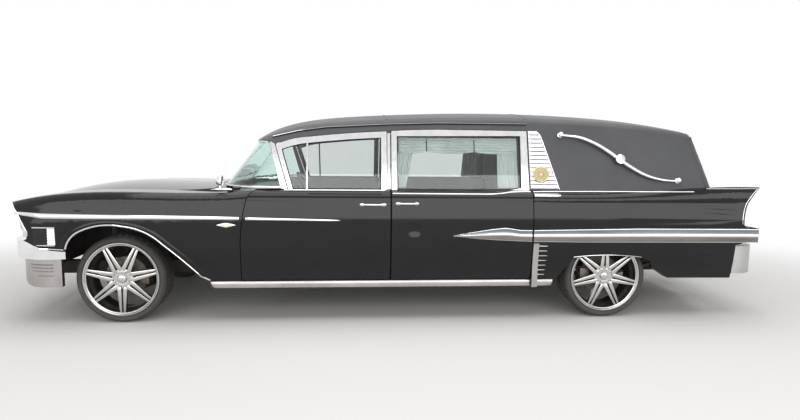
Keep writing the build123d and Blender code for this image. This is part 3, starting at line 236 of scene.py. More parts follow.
def take(piece):
    """Makes a piece the only one selected, and active."""
    deselect()
    piece.select_set(True)
    bpy.context.view_layer.objects.active = piece
    return piece


@contextmanager
def editing(piece):
    """Edit mode on one piece, with all of it selected."""
    take(piece)
    bpy.ops.object.mode_set(mode="EDIT")
    bpy.ops.mesh.select_all(action="SELECT")
    yield
    bpy.ops.object.mode_set(mode="OBJECT")


def named(name):
    """The new primitive under its name, with its place put in its mesh."""
    piece = bpy.context.object
    piece.name = name
    piece.data.name = name
    bpy.ops.object.transform_apply(location=True, rotation=True, scale=True)
    return piece


def extrude(along):
    """Extrudes what is selected along a vector."""
    bpy.ops.mesh.extrude_region_move(TRANSFORM_OT_translate={"value": along})


def pen(name, points, fill=True):
    """Outline drawn as by hand: a plane merged to one corner, which is extruded from place to place."""
    deselect()
    bpy.ops.mesh.primitive_plane_add(size=MM, location=points[0])
    piece = named(name)
    with editing(piece):
        bpy.ops.mesh.merge(type="CENTER")
        for last, here in zip(points, points[1:]):
            extrude(here - last)
        bpy.ops.mesh.select_all(action="SELECT")
        if fill:
            bpy.ops.mesh.edge_face_add()
    return piece


def tidy(piece, doubles=1e-5):
    """Merges doubles and turns the faces outwards."""
    with editing(piece):
        bpy.ops.mesh.remove_doubles(threshold=doubles)
        bpy.ops.mesh.normals_make_consistent(inside=False)
    return piece


def pulled(name, points, along):
    """Outline extruded along a vector."""
    piece = pen(name, points)
    with editing(piece):
        extrude(along)
    return tidy(piece)


def drawn(name, y, outline, width):
    """Side outline (x, z) at a place across the car, extruded over a width."""
    return pulled(name, [spot(x, y, z) for x, z in outline], Vector((0, width * MM, 0)))


def lathe(name, centre, axis, profile, steps=48):
    """Turned piece. The profile holds (radius, reach along the axis), in millimetres."""
    axis = Vector(axis).normalized()
    side = axis.orthogonal().normalized()
    points = [centre + side * (r * MM) + axis * (h * MM) for r, h in profile]
    piece = pen(name, points + points[:1], fill=False)
    with editing(piece):
        bpy.ops.mesh.remove_doubles(threshold=1e-6)
        bpy.ops.mesh.select_all(action="SELECT")
        bpy.ops.mesh.spin(steps=steps, angle=math.tau, center=centre, axis=axis)
    return tidy(piece)


def applied(piece, kind, **settings):
    """Adds a modifier, sets it and applies it."""
    take(piece)
    modifier = piece.modifiers.new(kind.title(), kind)
    for key, value in settings.items():
        setattr(modifier, key, value)
    bpy.ops.object.modifier_apply(modifier=modifier.name)
    return piece


def softened(piece, width, segments=2, angle=35):
    """Rounds the sharp edges and shades the piece smooth between them."""
    if width:
        applied(piece, "BEVEL", width=width * MM, segments=segments, limit_method="ANGLE",
                angle_limit=math.radians(angle), harden_normals=False)
    take(piece)
    bpy.ops.object.shade_smooth_by_angle(angle=math.radians(angle))
    return piece


def painted(piece, finish_name):
    """One finish all over a piece."""
    piece.data.materials.clear()
    piece.data.materials.append(FINISHES[finish_name])
    for face in piece.data.polygons:
        face.material_index = 0
    return piece


def turned(name, centre, axis, profile, finish_name, round_off=0.0, steps=48, angle=35):
    """Turned piece with its edges rounded and its finish."""
    return painted(softened(lathe(name, centre, axis, profile, steps), round_off, angle=angle), finish_name)


def block(name, low, high, round_off=0.0):
    """Box between two corners given as spot points, with its edges rounded."""
    centre, size = (low + high) / 2, high - low
    deselect()
    bpy.ops.mesh.primitive_cube_add(size=1, location=centre)
    bpy.context.object.scale = [abs(s) for s in size]
    piece = named(name)
    return softened(piece, round_off) if round_off else piece


def tube(name, points, radius, radii=None, resolution=4, closed=False):
    """Round bar along a smooth line."""
    deselect()
    bpy.ops.curve.primitive_nurbs_path_add()
    curve = bpy.context.object
    curve.location = (0, 0, 0)
    curve.data.splines.clear()
    spline = curve.data.splines.new("NURBS")
    spline.points.add(len(points) - 1)
    for index, point in enumerate(points):
        spline.points[index].co = (*point, 1)
        spline.points[index].radius = radii[index] if radii else 1
    spline.order_u = 3
    spline.use_endpoint_u = not closed
    spline.use_cyclic_u = closed
    spline.resolution_u = 6
    curve.data.bevel_depth = radius * MM
    curve.data.bevel_resolution = resolution
    curve.data.use_fill_caps = True
    bpy.ops.object.convert(target="MESH")
    piece = named(name)
    return softened(tidy(piece), 0, angle=50)


def rod(name, points, radius, finish_name, radii=None, resolution=4, closed=False):
    """Round bar with its finish."""
    return painted(tube(name, points, radius, radii, resolution, closed), finish_name)


def slab(name, low, high, round_off, finish_name):
    """Rounded block between two corners (x, y, z), with its finish."""
    return painted(block(name, spot(*low), spot(*high), round_off), finish_name)


def ring_of(centre, side, up, radius, count=24):
    """Even places round a circle."""
    return [centre + (side * math.cos(math.tau * k / count) + up * math.sin(math.tau * k / count)) * radius
            for k in range(count)]


def join(name, pieces):
    """Several pieces made one."""
    deselect()
    for piece in pieces:
        piece.select_set(True)
    bpy.context.view_layer.objects.active = pieces[0]
    bpy.ops.object.join()
    pieces[0].name = name
    pieces[0].data.name = name
    return pieces[0]


def copied(piece, name, matrix=None):
    """Copy with its own mesh, moved by a matrix."""
    take(piece)
    bpy.ops.object.duplicate()
    twin = bpy.context.object
    twin.name = name
    twin.data.name = name
    if matrix is not None:
        twin.data.transform(matrix)
        if matrix.determinant() < 0:
            twin.data.flip_normals()
    return twin


def array(piece, name, matrices):
    """One joined mesh of a piece repeated at several places. The first matrix may be the identity."""
    copies = [copied(piece, f"{name}_{index}", matrix) for index, matrix in enumerate(matrices)]
    bpy.data.objects.remove(piece)
    return join(name, copies)


def ride(piece, body, finish_name=None, replaces=()):
    """Gives a piece its finish and its body, and hides the nodes that it stands for."""
    if finish_name:
        painted(piece, finish_name)
    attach(piece, body)
    if replaces:
        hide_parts(*replaces)
    return piece


FLIP = Matrix.Scale(-1, 4, (0, 1, 0))


def about(place, turn):
    """A turn or a scale about a place."""
    return Matrix.Translation(place) @ turn @ Matrix.Translation(-place)


def ride_pair(piece, body, finish_name, replaces=()):
    """A left-hand piece and its mirror image. Body and node names end in left and right where they differ."""
    name = piece.name
    twin = copied(piece, f"{name}_right", FLIP)
    piece.name = f"{name}_left"
    piece.data.name = piece.name
    for each, hand in ((piece, "left"), (twin, "right")):
        own = [node.replace("left", hand) for node in replaces if hand == "left" or "left" in node]
        ride(each, body.replace("left", hand), finish_name, own)
    return piece, twin


def bright(piece, body="root", finish_name="chrome"):
    """A pair of bright trim pieces."""
    return ride_pair(piece, body, finish_name)


def sheet_of(name, lines, thick, angle=40):
    """Thin piece through places: one line for each station, each from its top or outer edge down."""
    deselect()
    bpy.ops.mesh.primitive_grid_add(x_subdivisions=len(lines) - 1, y_subdivisions=len(lines[0]) - 1, size=2)
    piece = named(name)
    corners = sorted(piece.data.vertices, key=lambda v: (round(v.co.x, 5), -round(v.co.y, 5)))
    for corner, place in zip(corners, [place for line in lines for place in line]):
        corner.co = place
    applied(piece, "SOLIDIFY", thickness=thick * MM, offset=-1)
    return softened(tidy(piece, 1e-6), 0, angle=angle)


def moulding(name, stations, rows, skin, spacing=45, back=3.0):
    """Strip on the left side. Stations are (x, top z, bottom z), rows are (share of the way down, height)."""
    lines, last = [], EDGE_HALF
    for x, top, bottom in resampled([Vector(station) for station in stations], spacing):
        lines.append([])
        for share, height in rows:
            place, last = laid(skin, x, top + (bottom - top) * share, height, last)
            lines[-1].append(place)
    return sheet_of(name, lines, back)


def banded(piece, stations, finish_name, first, last):
    """Gives the faces of a moulding between two shares of the way down another finish."""
    def within(centre, normal):
        x = (centre.x - FRONT_AXLE_X) / MM
        for (x0, top0, low0), (x1, top1, low1) in zip(stations, stations[1:]):
            if x0 - 1 <= x <= x1 + 1:
                share = (x - x0) / (x1 - x0)
                top, low = top0 + (top1 - top0) * share, low0 + (low1 - low0) * share
                return first < (top - centre.z / MM) / (top - low) < last
        return False
    give_faces(piece, finish_name, within)


def lip(name, path, width, rows, skin, spacing=30, back=3.0):
    """Strip beside a path (x, z) on the left side, on the path's left hand. Rows are (share, height)."""
    points = resampled(path, spacing)
    lines, last = [], EDGE_HALF
    for before, point, after in zip(points[:1] + points, points, points[1:] + points[-1:]):
        run = (after - before).normalized()
        outward = Vector((-run.y, run.x))
        lines.append([])
        for share, height in rows:
            x, z = point + outward * (width * (1 - share))
            place, last = laid(skin, x, z, height, last)
            lines[-1].append(place)
    return sheet_of(name, lines, back)


def on_plane(name, stations, rows, back=2.0, angle=40):
    """Strip on the left window plane. Stations are two corners (x, z), rows are (share, height)."""
    lines = []
    for (x, z), (far_x, far_z) in stations:
        lines.append([on_window(x + (far_x - x) * share, z + (far_z - z) * share, height)
                      for share, height in rows])
    return sheet_of(name, lines, back, angle)


def bead(name, path, skin, radius=5.0, out=1.0, spacing=60):
    """Round bead on the left side, along a path (x, z) over the skin."""
    points, last = [], EDGE_HALF
    for x, z in resampled([Vector(place) for place in path], spacing):
        place, last = laid(skin, x, z, out, last)
        points.append(place)
    return tube(name, points, radius)


def band(name, plan, rows, back=2.0):
    """Upright strip round a plan line (x, y). Rows are (height above ground, distance outwards)."""
    lines = []
    for place, point in enumerate(plan):
        before, after = plan[max(0, place - 1)], plan[min(len(plan) - 1, place + 1)]
        run = (after - before).normalized()
        out = Vector((run.y, -run.x))
        lines.append([spot(*(point + out * reach), z) for z, reach in rows])
    return sheet_of(name, lines, back)


def dented(piece, x, z, wide, high, deep, step=14):
    """Pushes a shallow dent into the left skin of a panel, after cutting that part of it finer."""
    skin_y = spot(0, DOOR_SKIN_Y, 0).y
    columns, rows = int(wide / step), int(high / step)
    cuts = [(spot(x + k * step, 0, 0), Vector((1, 0, 0))) for k in range(-columns, columns + 1)]
    cuts += [(spot(0, 0, z + k * step), Vector((0, 0, 1))) for k in range(-rows, rows + 1)]
    smooth = copied(piece, "smooth_panel")
    take(piece)
    for face in piece.data.polygons:
        face.select = face.normal.y < -0.7 and face.center.y < skin_y
    bpy.ops.object.mode_set(mode="EDIT")
    bpy.ops.mesh.select_mode(type="FACE")
    for place, normal in cuts:
        mesh = bmesh.from_edit_mesh(piece.data)
        for face in mesh.faces:
            face.select_set(face.normal.y < -0.7 and face.calc_center_median().y < skin_y)
        bmesh.update_edit_mesh(piece.data)
        bpy.ops.mesh.bisect(plane_co=place, plane_no=normal)
    bpy.ops.mesh.select_mode(type="VERT")
    bpy.ops.mesh.customdata_custom_splitnormals_clear()
    bpy.ops.object.mode_set(mode="OBJECT")
    far = piece.vertex_groups.new(name="far")
    middle = spot(x, 0, z)
    for corner in piece.data.vertices:
        across = (corner.co.x - middle.x) / (wide * MM)
        up = (corner.co.z - middle.z) / (high * MM)
        reach = across * across + up * up
        if reach < 1 and corner.co.y < skin_y:
            corner.co.y += deep * MM * (1 - reach) ** 2
        else:
            far.add([corner.index], 1.0, "ADD")
    softened(piece, 0, angle=32)
    applied(piece, "DATA_TRANSFER", object=smooth, use_loop_data=True, data_types_loops={"CUSTOM_NORMAL"},
            loop_mapping="POLYINTERP_NEAREST", vertex_group="far")
    piece.vertex_groups.clear()
    bpy.data.objects.remove(smooth)


def dressed(node, name, finish_name, bevel=2.0):
    """Copy of a frame node with its triangles merged, its edges rounded and its finish."""
    source = nodes[node]
    piece = source.copy()
    piece.data = source.data.copy()
    piece.parent = None
    bpy.context.scene.collection.objects.link(piece)
    for key in list(piece.keys()):
        del piece[key]
    piece.name = name
    piece.data.name = name
    with editing(piece):
        bpy.ops.mesh.remove_doubles(threshold=2e-6)
        bpy.ops.mesh.customdata_custom_splitnormals_clear()
        bpy.ops.mesh.dissolve_limited(angle_limit=math.radians(0.1), delimit=set())
    softened(piece, bevel, angle=32)
    return painted(applied(piece, "WEIGHTED_NORMAL", keep_sharp=True, weight=50), finish_name)


def give_faces(piece, finish_name, test):
    """Faces whose centre and normal pass a test get another finish."""
    piece.data.materials.append(FINISHES[finish_name])
    index = len(piece.data.materials) - 1
    for face in piece.data.polygons:
        if test(face.center, face.normal):
            face.material_index = index


# Finishes

FINISHES = {}


def put(tree, socket, value):
    """Feeds a socket from another node's output, or sets it."""
    if isinstance(value, bpy.types.NodeSocket):
        tree.links.new(value, socket)
    else:
        socket.default_value = value


def node_of(tree, kind, *feeds, **values):
    """Adds a shader node. Feeds go to its first inputs in order, values to inputs and properties by name."""
    made = tree.nodes.new(kind)
    for key, value in values.items():
        if key in made.inputs:
            put(tree, made.inputs[key], value)
        else:
            setattr(made, key, value)
    for socket, feed in zip(made.inputs, feeds):
        put(tree, socket, feed)
    return made


def cloudy(tree, place, scale, detail, rough):
    """Uneven pattern over a place."""
    noise_node = node_of(tree, "ShaderNodeTexNoise", place, Scale=scale, Detail=detail, Roughness=rough)
    return noise_node.outputs["Fac"]


def ranged(tree, value, low, high, first=0.0, last=1.0, **values):
    """Value brought from one range to another."""
    return node_of(tree, "ShaderNodeMapRange", value, low, high, first, last, **values).outputs["Result"]


def blended(tree, share, first, second):
    """Colour between two others."""
    mix = node_of(tree, "ShaderNodeMix", share, data_type="RGBA")
    put(tree, mix.inputs[6], first)
    put(tree, mix.inputs[7], second)
    return mix.outputs[2]


def finish(name, colour, rough=0.4, metallic=0.0, second=None, mottle=6.0, contrast=(0.35, 0.7),
           rough_spread=0.08, bump=0.05, bump_scale=60.0, bump_depth=0.0006, stretch=(1, 1, 1),
           dirt=None, dirt_height=0.5, **sockets):
    """Finish with its own colour variation, uneven gloss, surface grain and dust towards the ground."""
    material = bpy.data.materials.new(name)
    material.use_nodes = True
    tree = material.node_tree
    shader = tree.nodes["Principled BSDF"]
    shader.inputs["Metallic"].default_value = metallic
    for key, value in sockets.items():
        shader.inputs[key.replace("_", " ")].default_value = value
    place = node_of(tree, "ShaderNodeTexCoord").outputs["Object"]
    scaled = node_of(tree, "ShaderNodeMapping", place, Scale=stretch).outputs["Vector"]
    share = ranged(tree, cloudy(tree, scaled, mottle, 5.0, 0.6), *contrast)
    second = second or [c * 0.72 for c in colour]
    shade = blended(tree, share, (*colour, 1), (*second, 1))
    if dirt:
        height = node_of(tree, "ShaderNodeSeparateXYZ", place).outputs["Z"]
        rise = ranged(tree, height, 0.0, dirt_height, 0.55, 0.0)
        speck = cloudy(tree, place, mottle * 4, 8.0, 0.75)
        dusty = node_of(tree, "ShaderNodeMath", rise, speck, operation="MULTIPLY").outputs["Value"]
        shade = blended(tree, dusty, shade, (*dirt, 1))
    put(tree, shader.inputs["Base Color"], shade)
    haze = cloudy(tree, scaled, mottle * 2.3, 6.0, 0.7)
    gloss = ranged(tree, haze, 0.3, 0.75, rough, min(1.0, rough + rough_spread))
    put(tree, shader.inputs["Roughness"], gloss)
    if bump:
        grain = cloudy(tree, scaled, bump_scale, 3.0, 0.5)
        raised = node_of(tree, "ShaderNodeBump", Height=grain, Strength=bump, Distance=bump_depth)
        put(tree, shader.inputs["Normal"], raised.outputs["Normal"])
    FINISHES[name] = material


def make_finishes():
    """Every finish of the car."""
    paint = bpy.context.scene.hearse_paint
    cabin = bpy.context.scene.hearse_cabin
    body, roof = tuple(paint.body_colour), tuple(paint.roof_colour)
    bright, alloy = tuple(paint.bright_colour), tuple(paint.alloy_colour)
    dust = (0.055, 0.048, 0.042)
    finish("gloss_black", body, 0.055, second=(0.008, 0.008, 0.009), mottle=2.2, rough_spread=0.07,
           bump=0.012, bump_scale=340, dirt=dust, dirt_height=0.5, IOR=1.38)
    finish("satin_roof", roof, 0.40, second=(0.046, 0.047, 0.052), mottle=1.6, rough_spread=0.14, bump=0.10,
           bump_scale=520, bump_depth=0.0005, Sheen_Weight=0.06)
    finish("dark_underside", (0.018, 0.017, 0.016), 0.72, second=(0.060, 0.046, 0.036), mottle=7,
           bump=0.35, bump_scale=110, bump_depth=0.001)
    finish("chrome", bright, 0.045, 1.0, second=(0.70, 0.70, 0.71), mottle=9, rough_spread=0.11, bump=0.03,
           bump_scale=14, bump_depth=0.0008, dirt=(0.30, 0.27, 0.23), dirt_height=0.5)
    finish("worn_chrome", (0.48, 0.46, 0.45), 0.24, 1.0, second=(0.38, 0.36, 0.35), mottle=3.5,
           rough_spread=0.20, bump=0.05, bump_scale=30, dirt=(0.24, 0.21, 0.19), dirt_height=0.6)
    finish("stainless", (0.72, 0.72, 0.72), 0.16, 1.0, second=(0.62, 0.62, 0.62), mottle=24,
           rough_spread=0.12, bump=0.04, bump_scale=220, stretch=(0.15, 1, 1))
    # Darker grey chrome: painted shade in the channel of the broad spear and under the landau ribs.
    finish("painted_shade_chrome", (0.27, 0.28, 0.31), 0.20, 1.0, second=(0.20, 0.21, 0.23), mottle=10,
           rough_spread=0.14, bump=0.05, bump_scale=160, stretch=(0.2, 1, 1))
    # Darker brownish chrome: a painted reflection on the lower band of the broad spear, with dust towards the
    # ground.
    finish("painted_reflection_chrome", (0.27, 0.245, 0.225), 0.27, 1.0, second=(0.19, 0.17, 0.155), mottle=11,
           rough_spread=0.18, bump=0.06, bump_scale=140, stretch=(0.2, 1, 1), dirt=(0.12, 0.10, 0.08),
           dirt_height=1.0)
    finish("matte_silver", (0.50, 0.50, 0.50), 0.40, 0.75, second=(0.43, 0.43, 0.43), mottle=6,
           rough_spread=0.18, bump=0.06, bump_scale=190, dirt=(0.24, 0.21, 0.18), dirt_height=0.7)
    finish("brushed_silver", (0.62, 0.62, 0.64), 0.26, 1.0, second=(0.54, 0.54, 0.57), mottle=40,
           rough_spread=0.14, bump=0.05, bump_scale=300, stretch=(0.1, 1, 1))
    finish("machined_alloy", alloy, 0.17, 1.0, second=(0.55, 0.55, 0.54), mottle=16, rough_spread=0.14,
           bump=0.03, bump_scale=90, dirt=(0.20, 0.17, 0.14), dirt_height=0.9)
    # Dark alloy for the inside of the rim barrel: painted shade.
    finish("barrel_painted_shade", (0.10, 0.10, 0.10), 0.36, 0.8, second=(0.055, 0.05, 0.045), mottle=12,
           rough_spread=0.2, bump=0.08, bump_scale=90)
    finish("brake_iron", (0.19, 0.18, 0.17), 0.42, 0.9, second=(0.15, 0.10, 0.07), mottle=22,
           rough_spread=0.25, bump=0.12, bump_scale=160)
    finish("tyre_rubber", (0.022, 0.022, 0.023), 0.62, second=(0.040, 0.037, 0.034), mottle=8,
           rough_spread=0.2, bump=0.22, bump_scale=240, dirt=(0.12, 0.10, 0.08), dirt_height=0.75)
    finish("axle_steel", (0.10, 0.095, 0.09), 0.52, 0.7, second=(0.12, 0.075, 0.05), mottle=9,
           rough_spread=0.3, bump=0.25, bump_scale=120)
    finish("engine_iron", (0.045, 0.048, 0.052), 0.6, 0.4, second=(0.08, 0.06, 0.045), mottle=8,
           rough_spread=0.25, bump=0.3, bump_scale=90)
    finish("pipe_steel", (0.30, 0.28, 0.26), 0.35, 0.9, second=(0.20, 0.13, 0.09), mottle=10,
           rough_spread=0.3, bump=0.2, bump_scale=100)
    finish("window_glass", (0.80, 0.84, 0.83), 0.0, second=(0.77, 0.81, 0.80), mottle=1.5,
           rough_spread=0.015, bump=0, Transmission_Weight=1.0, IOR=1.48)
    finish("tinted_glass", (0.80, 0.93, 0.90), 0.0, second=(0.74, 0.89, 0.86), mottle=1.2,
           rough_spread=0.02, bump=0, Transmission_Weight=1.0, IOR=1.48)
    finish("lamp_glass", (0.92, 0.93, 0.93), 0.03, second=(0.84, 0.86, 0.86), mottle=30, bump=0.25,
           bump_scale=70, bump_depth=0.002, stretch=(1, 1, 0.12), Transmission_Weight=0.85, IOR=1.5)
    finish("reflector", (0.85, 0.85, 0.84), 0.10, 1.0, mottle=30, bump=0.03)
    finish("red_lens", (0.42, 0.012, 0.010), 0.06, second=(0.24, 0.006, 0.006), mottle=40, bump=0.3,
           bump_scale=120, Transmission_Weight=0.35, IOR=1.5)
    finish("curtain_cloth", tuple(cabin.curtain_colour), 0.85, second=(0.58, 0.64, 0.61), mottle=5,
           rough_spread=0.1, bump=0.3, bump_scale=900, bump_depth=0.0004, stretch=(1, 1, 0.4),
           Sheen_Weight=0.25)
    finish("seat_hide", tuple(cabin.seat_colour), 0.42, second=(0.055, 0.052, 0.050), mottle=7,
           rough_spread=0.2, bump=0.35, bump_scale=260, bump_depth=0.0006)
    finish("dash_paint", (0.020, 0.020, 0.022), 0.28, second=(0.034, 0.033, 0.033), mottle=6,
           rough_spread=0.15, bump=0.08, bump_scale=200)
    finish("wheel_plastic", (0.030, 0.030, 0.031), 0.22, second=(0.045, 0.044, 0.042), mottle=11,
           rough_spread=0.12, bump=0.04, bump_scale=90)
    finish("lining_cloth", tuple(cabin.lining_colour), 0.9, second=(0.26, 0.27, 0.27), mottle=4,
           bump=0.35, bump_scale=700, Sheen_Weight=0.2)
    finish("carpet", (0.040, 0.040, 0.042), 0.95, second=(0.065, 0.062, 0.058), mottle=14, bump=0.8,
           bump_scale=420, bump_depth=0.002, Sheen_Weight=0.3)
    finish("deck_board", (0.23, 0.115, 0.052), 0.34, second=(0.12, 0.055, 0.024), mottle=5,
           rough_spread=0.16, bump=0.18, bump_scale=70, stretch=(0.12, 1, 1), Coat_Weight=0.3)
    finish("rubber_seal", (0.012, 0.012, 0.012), 0.6, second=(0.022, 0.021, 0.020), mottle=20, bump=0.1)
    finish("cream_enamel", (0.80, 0.76, 0.62), 0.25, second=(0.70, 0.65, 0.50), mottle=30,
           rough_spread=0.15, bump=0.06, bump_scale=150)
    finish("old_gold", (0.62, 0.47, 0.20), 0.28, 1.0, second=(0.45, 0.36, 0.17), mottle=30,
           rough_spread=0.2, bump=0.10, bump_scale=200)
    finish("olive_enamel", (0.34, 0.36, 0.16), 0.3, second=(0.46, 0.45, 0.25), mottle=50,
           rough_spread=0.2, bump=0.3, bump_scale=240)
    finish("rose_metal", (0.44, 0.26, 0.17), 0.34, 0.8, second=(0.36, 0.22, 0.13), mottle=60,
           rough_spread=0.2, bump=0.2, bump_scale=240)
    finish("dial_white", (0.62, 0.61, 0.56), 0.35, second=(0.55, 0.54, 0.49), mottle=25, bump=0.02)
    # Near-black: the own colour of small dark parts, and painted shade in the lug holes, under the front door
    # window and under the door mirror.
    finish("dark_recess", (0.006, 0.006, 0.006), 0.75, second=(0.012, 0.011, 0.010), mottle=10, bump=0.2,
           bump_scale=90)


def coat(finish_name, *names):
    """Gives frame nodes that stay as they are their finish."""
    for name in names:
        for holder in nodes[name].material_slots:
            holder.material = FINISHES[finish_name]


def looks_in(centre, normal):
    """True for a face that looks towards the car's middle line."""
    return abs(normal.y) > 0.5 and centre.y * normal.y < 0


# Panels

QUARTER_LINING_END_X = 4800
DOOR_LINING_TOP_Z = 1075
DOOR_FRAME_FOOT_Z = 1080.6


class HEARSE_OT_panels(bpy.types.Operator):
    """Rounds and paints the hood, fenders, doors, quarters, cowl, rear wall and rear door."""
    bl_idname = "hearse.panels"
    bl_label = "Painted panels"

    def execute(self, context):
        for node, body in (("hood", "hood"), ("front_fenders", "root"), ("cowl", "root"),
                           ("rear_wall", "root"), ("tailgate", "tailgate")):
            ride(dressed(node, f"{node}_skin", "gloss_black"), body, None, [node])
        quarter = dressed("quarter_panels", "quarter_skin", "gloss_black")
        lining_end = spot(QUARTER_LINING_END_X, 0, 0)
        with editing(quarter):
            bpy.ops.mesh.bisect(plane_co=lining_end, plane_no=(1, 0, 0))
        softened(quarter, 0, angle=32)
        give_faces(quarter, "lining_cloth", lambda c, n: looks_in(c, n) and c.x < lining_end.x)
        ride(quarter, "root", None, ["quarter_panels"])
        for hand in ("left", "right"):
            for end in ("front", "rear"):
                node = f"door_{end}_{hand}"
                door = dressed(node, f"{node}_skin", "gloss_black")
                give_faces(door, "lining_cloth",
                           lambda c, n: looks_in(c, n) and c.z < DOOR_LINING_TOP_Z * MM)
                give_faces(door, "chrome", lambda c, n: c.z > DOOR_FRAME_FOOT_Z * MM)
                if node == "door_rear_left":
                    dented(door, x=2325, z=762, wide=82, high=70, deep=12)
                ride(door, node, None, [node])
        return {"FINISHED"}


REAR_FACE_X = 4690
WELT_HALF = 700
WELT_STEPS = 48
ROOF_FOOT_Z = 1083
ROOF_MIDDLE_Z = 1200


def outwards(place):
    """From the car's middle line out to a place on the roof."""
    return Vector((0, place.y, place.z - ROOF_MIDDLE_Z * MM))


def rounded_rear(roof, width=46):
    """Rounds the long outer edge where the roof turns down to its rear face."""
    mesh = bmesh.new()
    mesh.from_mesh(roof.data)
    layers = mesh.edges.layers.float
    weight = layers.get("bevel_weight_edge") or layers.new("bevel_weight_edge")
    for edge in mesh.edges:
        middle = (edge.verts[0].co + edge.verts[1].co) / 2
        if len(edge.link_faces) == 2 and middle.x > spot(REAR_FACE_X, 0, 0).x and middle.z > ROOF_FOOT_Z * MM:
            low, high = sorted((face.normal for face in edge.link_faces), key=lambda n: n.x)
            sharp = low.x < 0.5 and high.x > 0.6 and low.angle(high) > 0.4
            if sharp and low.dot(outwards(middle)) > 0:
                edge[weight] = 1
    mesh.to_mesh(roof.data)
    mesh.free()
    return applied(roof, "BEVEL", width=width * MM, segments=4, limit_method="WEIGHT",
                   use_clamp_overlap=False)


class HEARSE_OT_roof(bpy.types.Operator):
    """Covers the roof outside and lines it inside, and adds its drip rails and seams."""
    bl_idname = "hearse.roof"
    bl_label = "Roof"

    def execute(self, context):
        roof = dressed("roof_shell", "roof_cover", "satin_roof", bevel=0)
        rear_x = spot(REAR_FACE_X, 0, 0).x
        give_faces(roof, "lining_cloth",
                   lambda c, n: n.x < -0.4 if c.x > rear_x else n.dot(outwards(c)) < -0.02)
        softened(rounded_rear(roof), 3.0, angle=32)
        ride(roof, "root", None, ["roof_shell"])
        skin = skin_of("roof_shell")
        rail = bow([(1186, 1487), (1387, 1535), (1614, 1567), (2108, 1596), (2531, 1612), (3281, 1613)])
        drip = lip("drip_rail", rail, 16, [(0, 0), (0.1, 9), (0.6, 12), (0.85, 7), (1, 0)], skin, spacing=90)
        ride_pair(drip, "root", "gloss_black")
        edge = lip("drip_edge", [p + Vector((0, 11)) for p in rail], 4, [(0, 8), (0.5, 13.5), (1, 12)], skin,
                   spacing=90)
        bright(edge)
        down = Vector((0, 0, -1))
        for number, (x, high) in enumerate(((2110, 1.6), (3286, 0.5))):
            lines = []
            for step in range(WELT_STEPS + 1):
                y = WELT_HALF - 2 * WELT_HALF * step / WELT_STEPS
                line = []
                for reach, height in ((-5, 0), (-3, high * 0.8), (0, high), (3, high * 0.8), (5, 0)):
                    hit, normal, _, _ = skin.ray_cast(spot(x + reach, y, 1900), down, 1.0)
                    line.append(hit + normal * height * MM)
                lines.append(line)
            ride(sheet_of(f"roof_welt_{number}", lines, 2, angle=60), "root", "satin_roof")
        return {"FINISHED"}


class HEARSE_OT_glass(bpy.types.Operator):
    """Gives the windshield and the windows their glass."""
    bl_idname = "hearse.glass"
    bl_label = "Glass"

    def execute(self, context):
        coat("window_glass", "glass_front_left", "glass_front_right", "glass_rear_left", "glass_rear_right",
             "glass_tailgate")
        coat("tinted_glass", "windshield")
        return {"FINISHED"}


class HEARSE_OT_window_trim(bpy.types.Operator):
    """Adds the pillar covers, the vent bars, the rubber round the panes and the windshield strips."""
    bl_idname = "hearse.window_trim"
    bl_label = "Window trim"

    def execute(self, context):
        ridges = [(0, 0), (0.03, 4)]
        for ridge in range(5):
            ridges += [(0.1 + ridge * 0.18, 5), (0.14 + ridge * 0.18, 2), (0.2 + ridge * 0.18, 2),
                       (0.24 + ridge * 0.18, 5)]
        ridges += [(1, 3)]
        cover = on_plane("pillar_cover", [((1259, 1083), (1312, 1080)), ((1211, 1272), (1258, 1258)),
                                          ((1162, 1461), (1203, 1437))], ridges, angle=25)
        bright(cover)
        cover = on_plane("post_cover", [((2112, z), (2140, z)) for z in (1082, 1330, 1578)],
                         [(0, -42), (0.06, -39), (0.2, -38), (0.4, -40), (0.6, -40), (0.8, -38), (0.94, -39),
                          (1, -42)])
        bright(cover)
        bar = on_plane("vent_bar", [((1457, 1079), (1472, 1079)), ((1455, 1447), (1470, 1449))],
                       [(0, -12), (0.08, -5), (0.5, -3), (0.92, -5), (1, -12)], back=3)
        bright(bar, "door_front_left")
        for node, shape in (
                ("front", [(1353, 1082), (1260, 1394), (1478, 1448, 1350, 1425), (2061, 1496, 1780, 1477),
                           (2061, 1082), (1353, 1082)]),
                ("rear", [(2191, 1082), (2191, 1509), (3225, 1522), (3215, 1099), (3080, 1082, 3154, 1086),
                          (2191, 1082)])):
            line = resampled(bow(shape), 34)[:-1]
            seal = tube(f"seal_{node}", [on_window(x, z, -11) for x, z in line], 6, closed=True, resolution=2)
            ride_pair(seal, f"door_{node}_left", "rubber_seal")

        base = bow([(1298, 896), (762, 474, 882, 799), (762, -474, 738, 0), (1298, -896, 882, -799)], 18)
        strip = band("windshield_base", base, [(1103, -1), (1102, 3), (1095, 4.5), (1088, 3), (1086, 0)])
        ride(strip, "root", "chrome")
        head = bow([(1150, 775), (1052, 420, 1085, 690), (1052, -420, 1036, 0), (1150, -775, 1085, -690)], 14)
        strip = band("windshield_head", head, [(1464, 1), (1463, 4), (1456, 5), (1450, 4), (1449, 1)])
        ride(strip, "root", "chrome")
        for y in (-330, 210):
            pivot = spot(742, y, 1099)
            blade = [on_glass(y - 60 + k * 52, 1122 + k * 4, 9) for k in range(8)]
            arm = [pivot, on_glass(y + 10, 1112, 16), on_glass(y + 120, 1134, 13)]
            wiper = [rod("blade", blade, 4, "rubber_seal", resolution=2),
                     rod("arm", arm, 3.5, "stainless", resolution=2),
                     turned("nut", pivot, UPWARD, [(0, 0), (11, 0), (9, 9), (0, 11)], "stainless", 1, 20)]
            ride(join(f"wiper_{'left' if y < 0 else 'right'}", wiper), "root", None)
        return {"FINISHED"}


# Bright trim of the sides

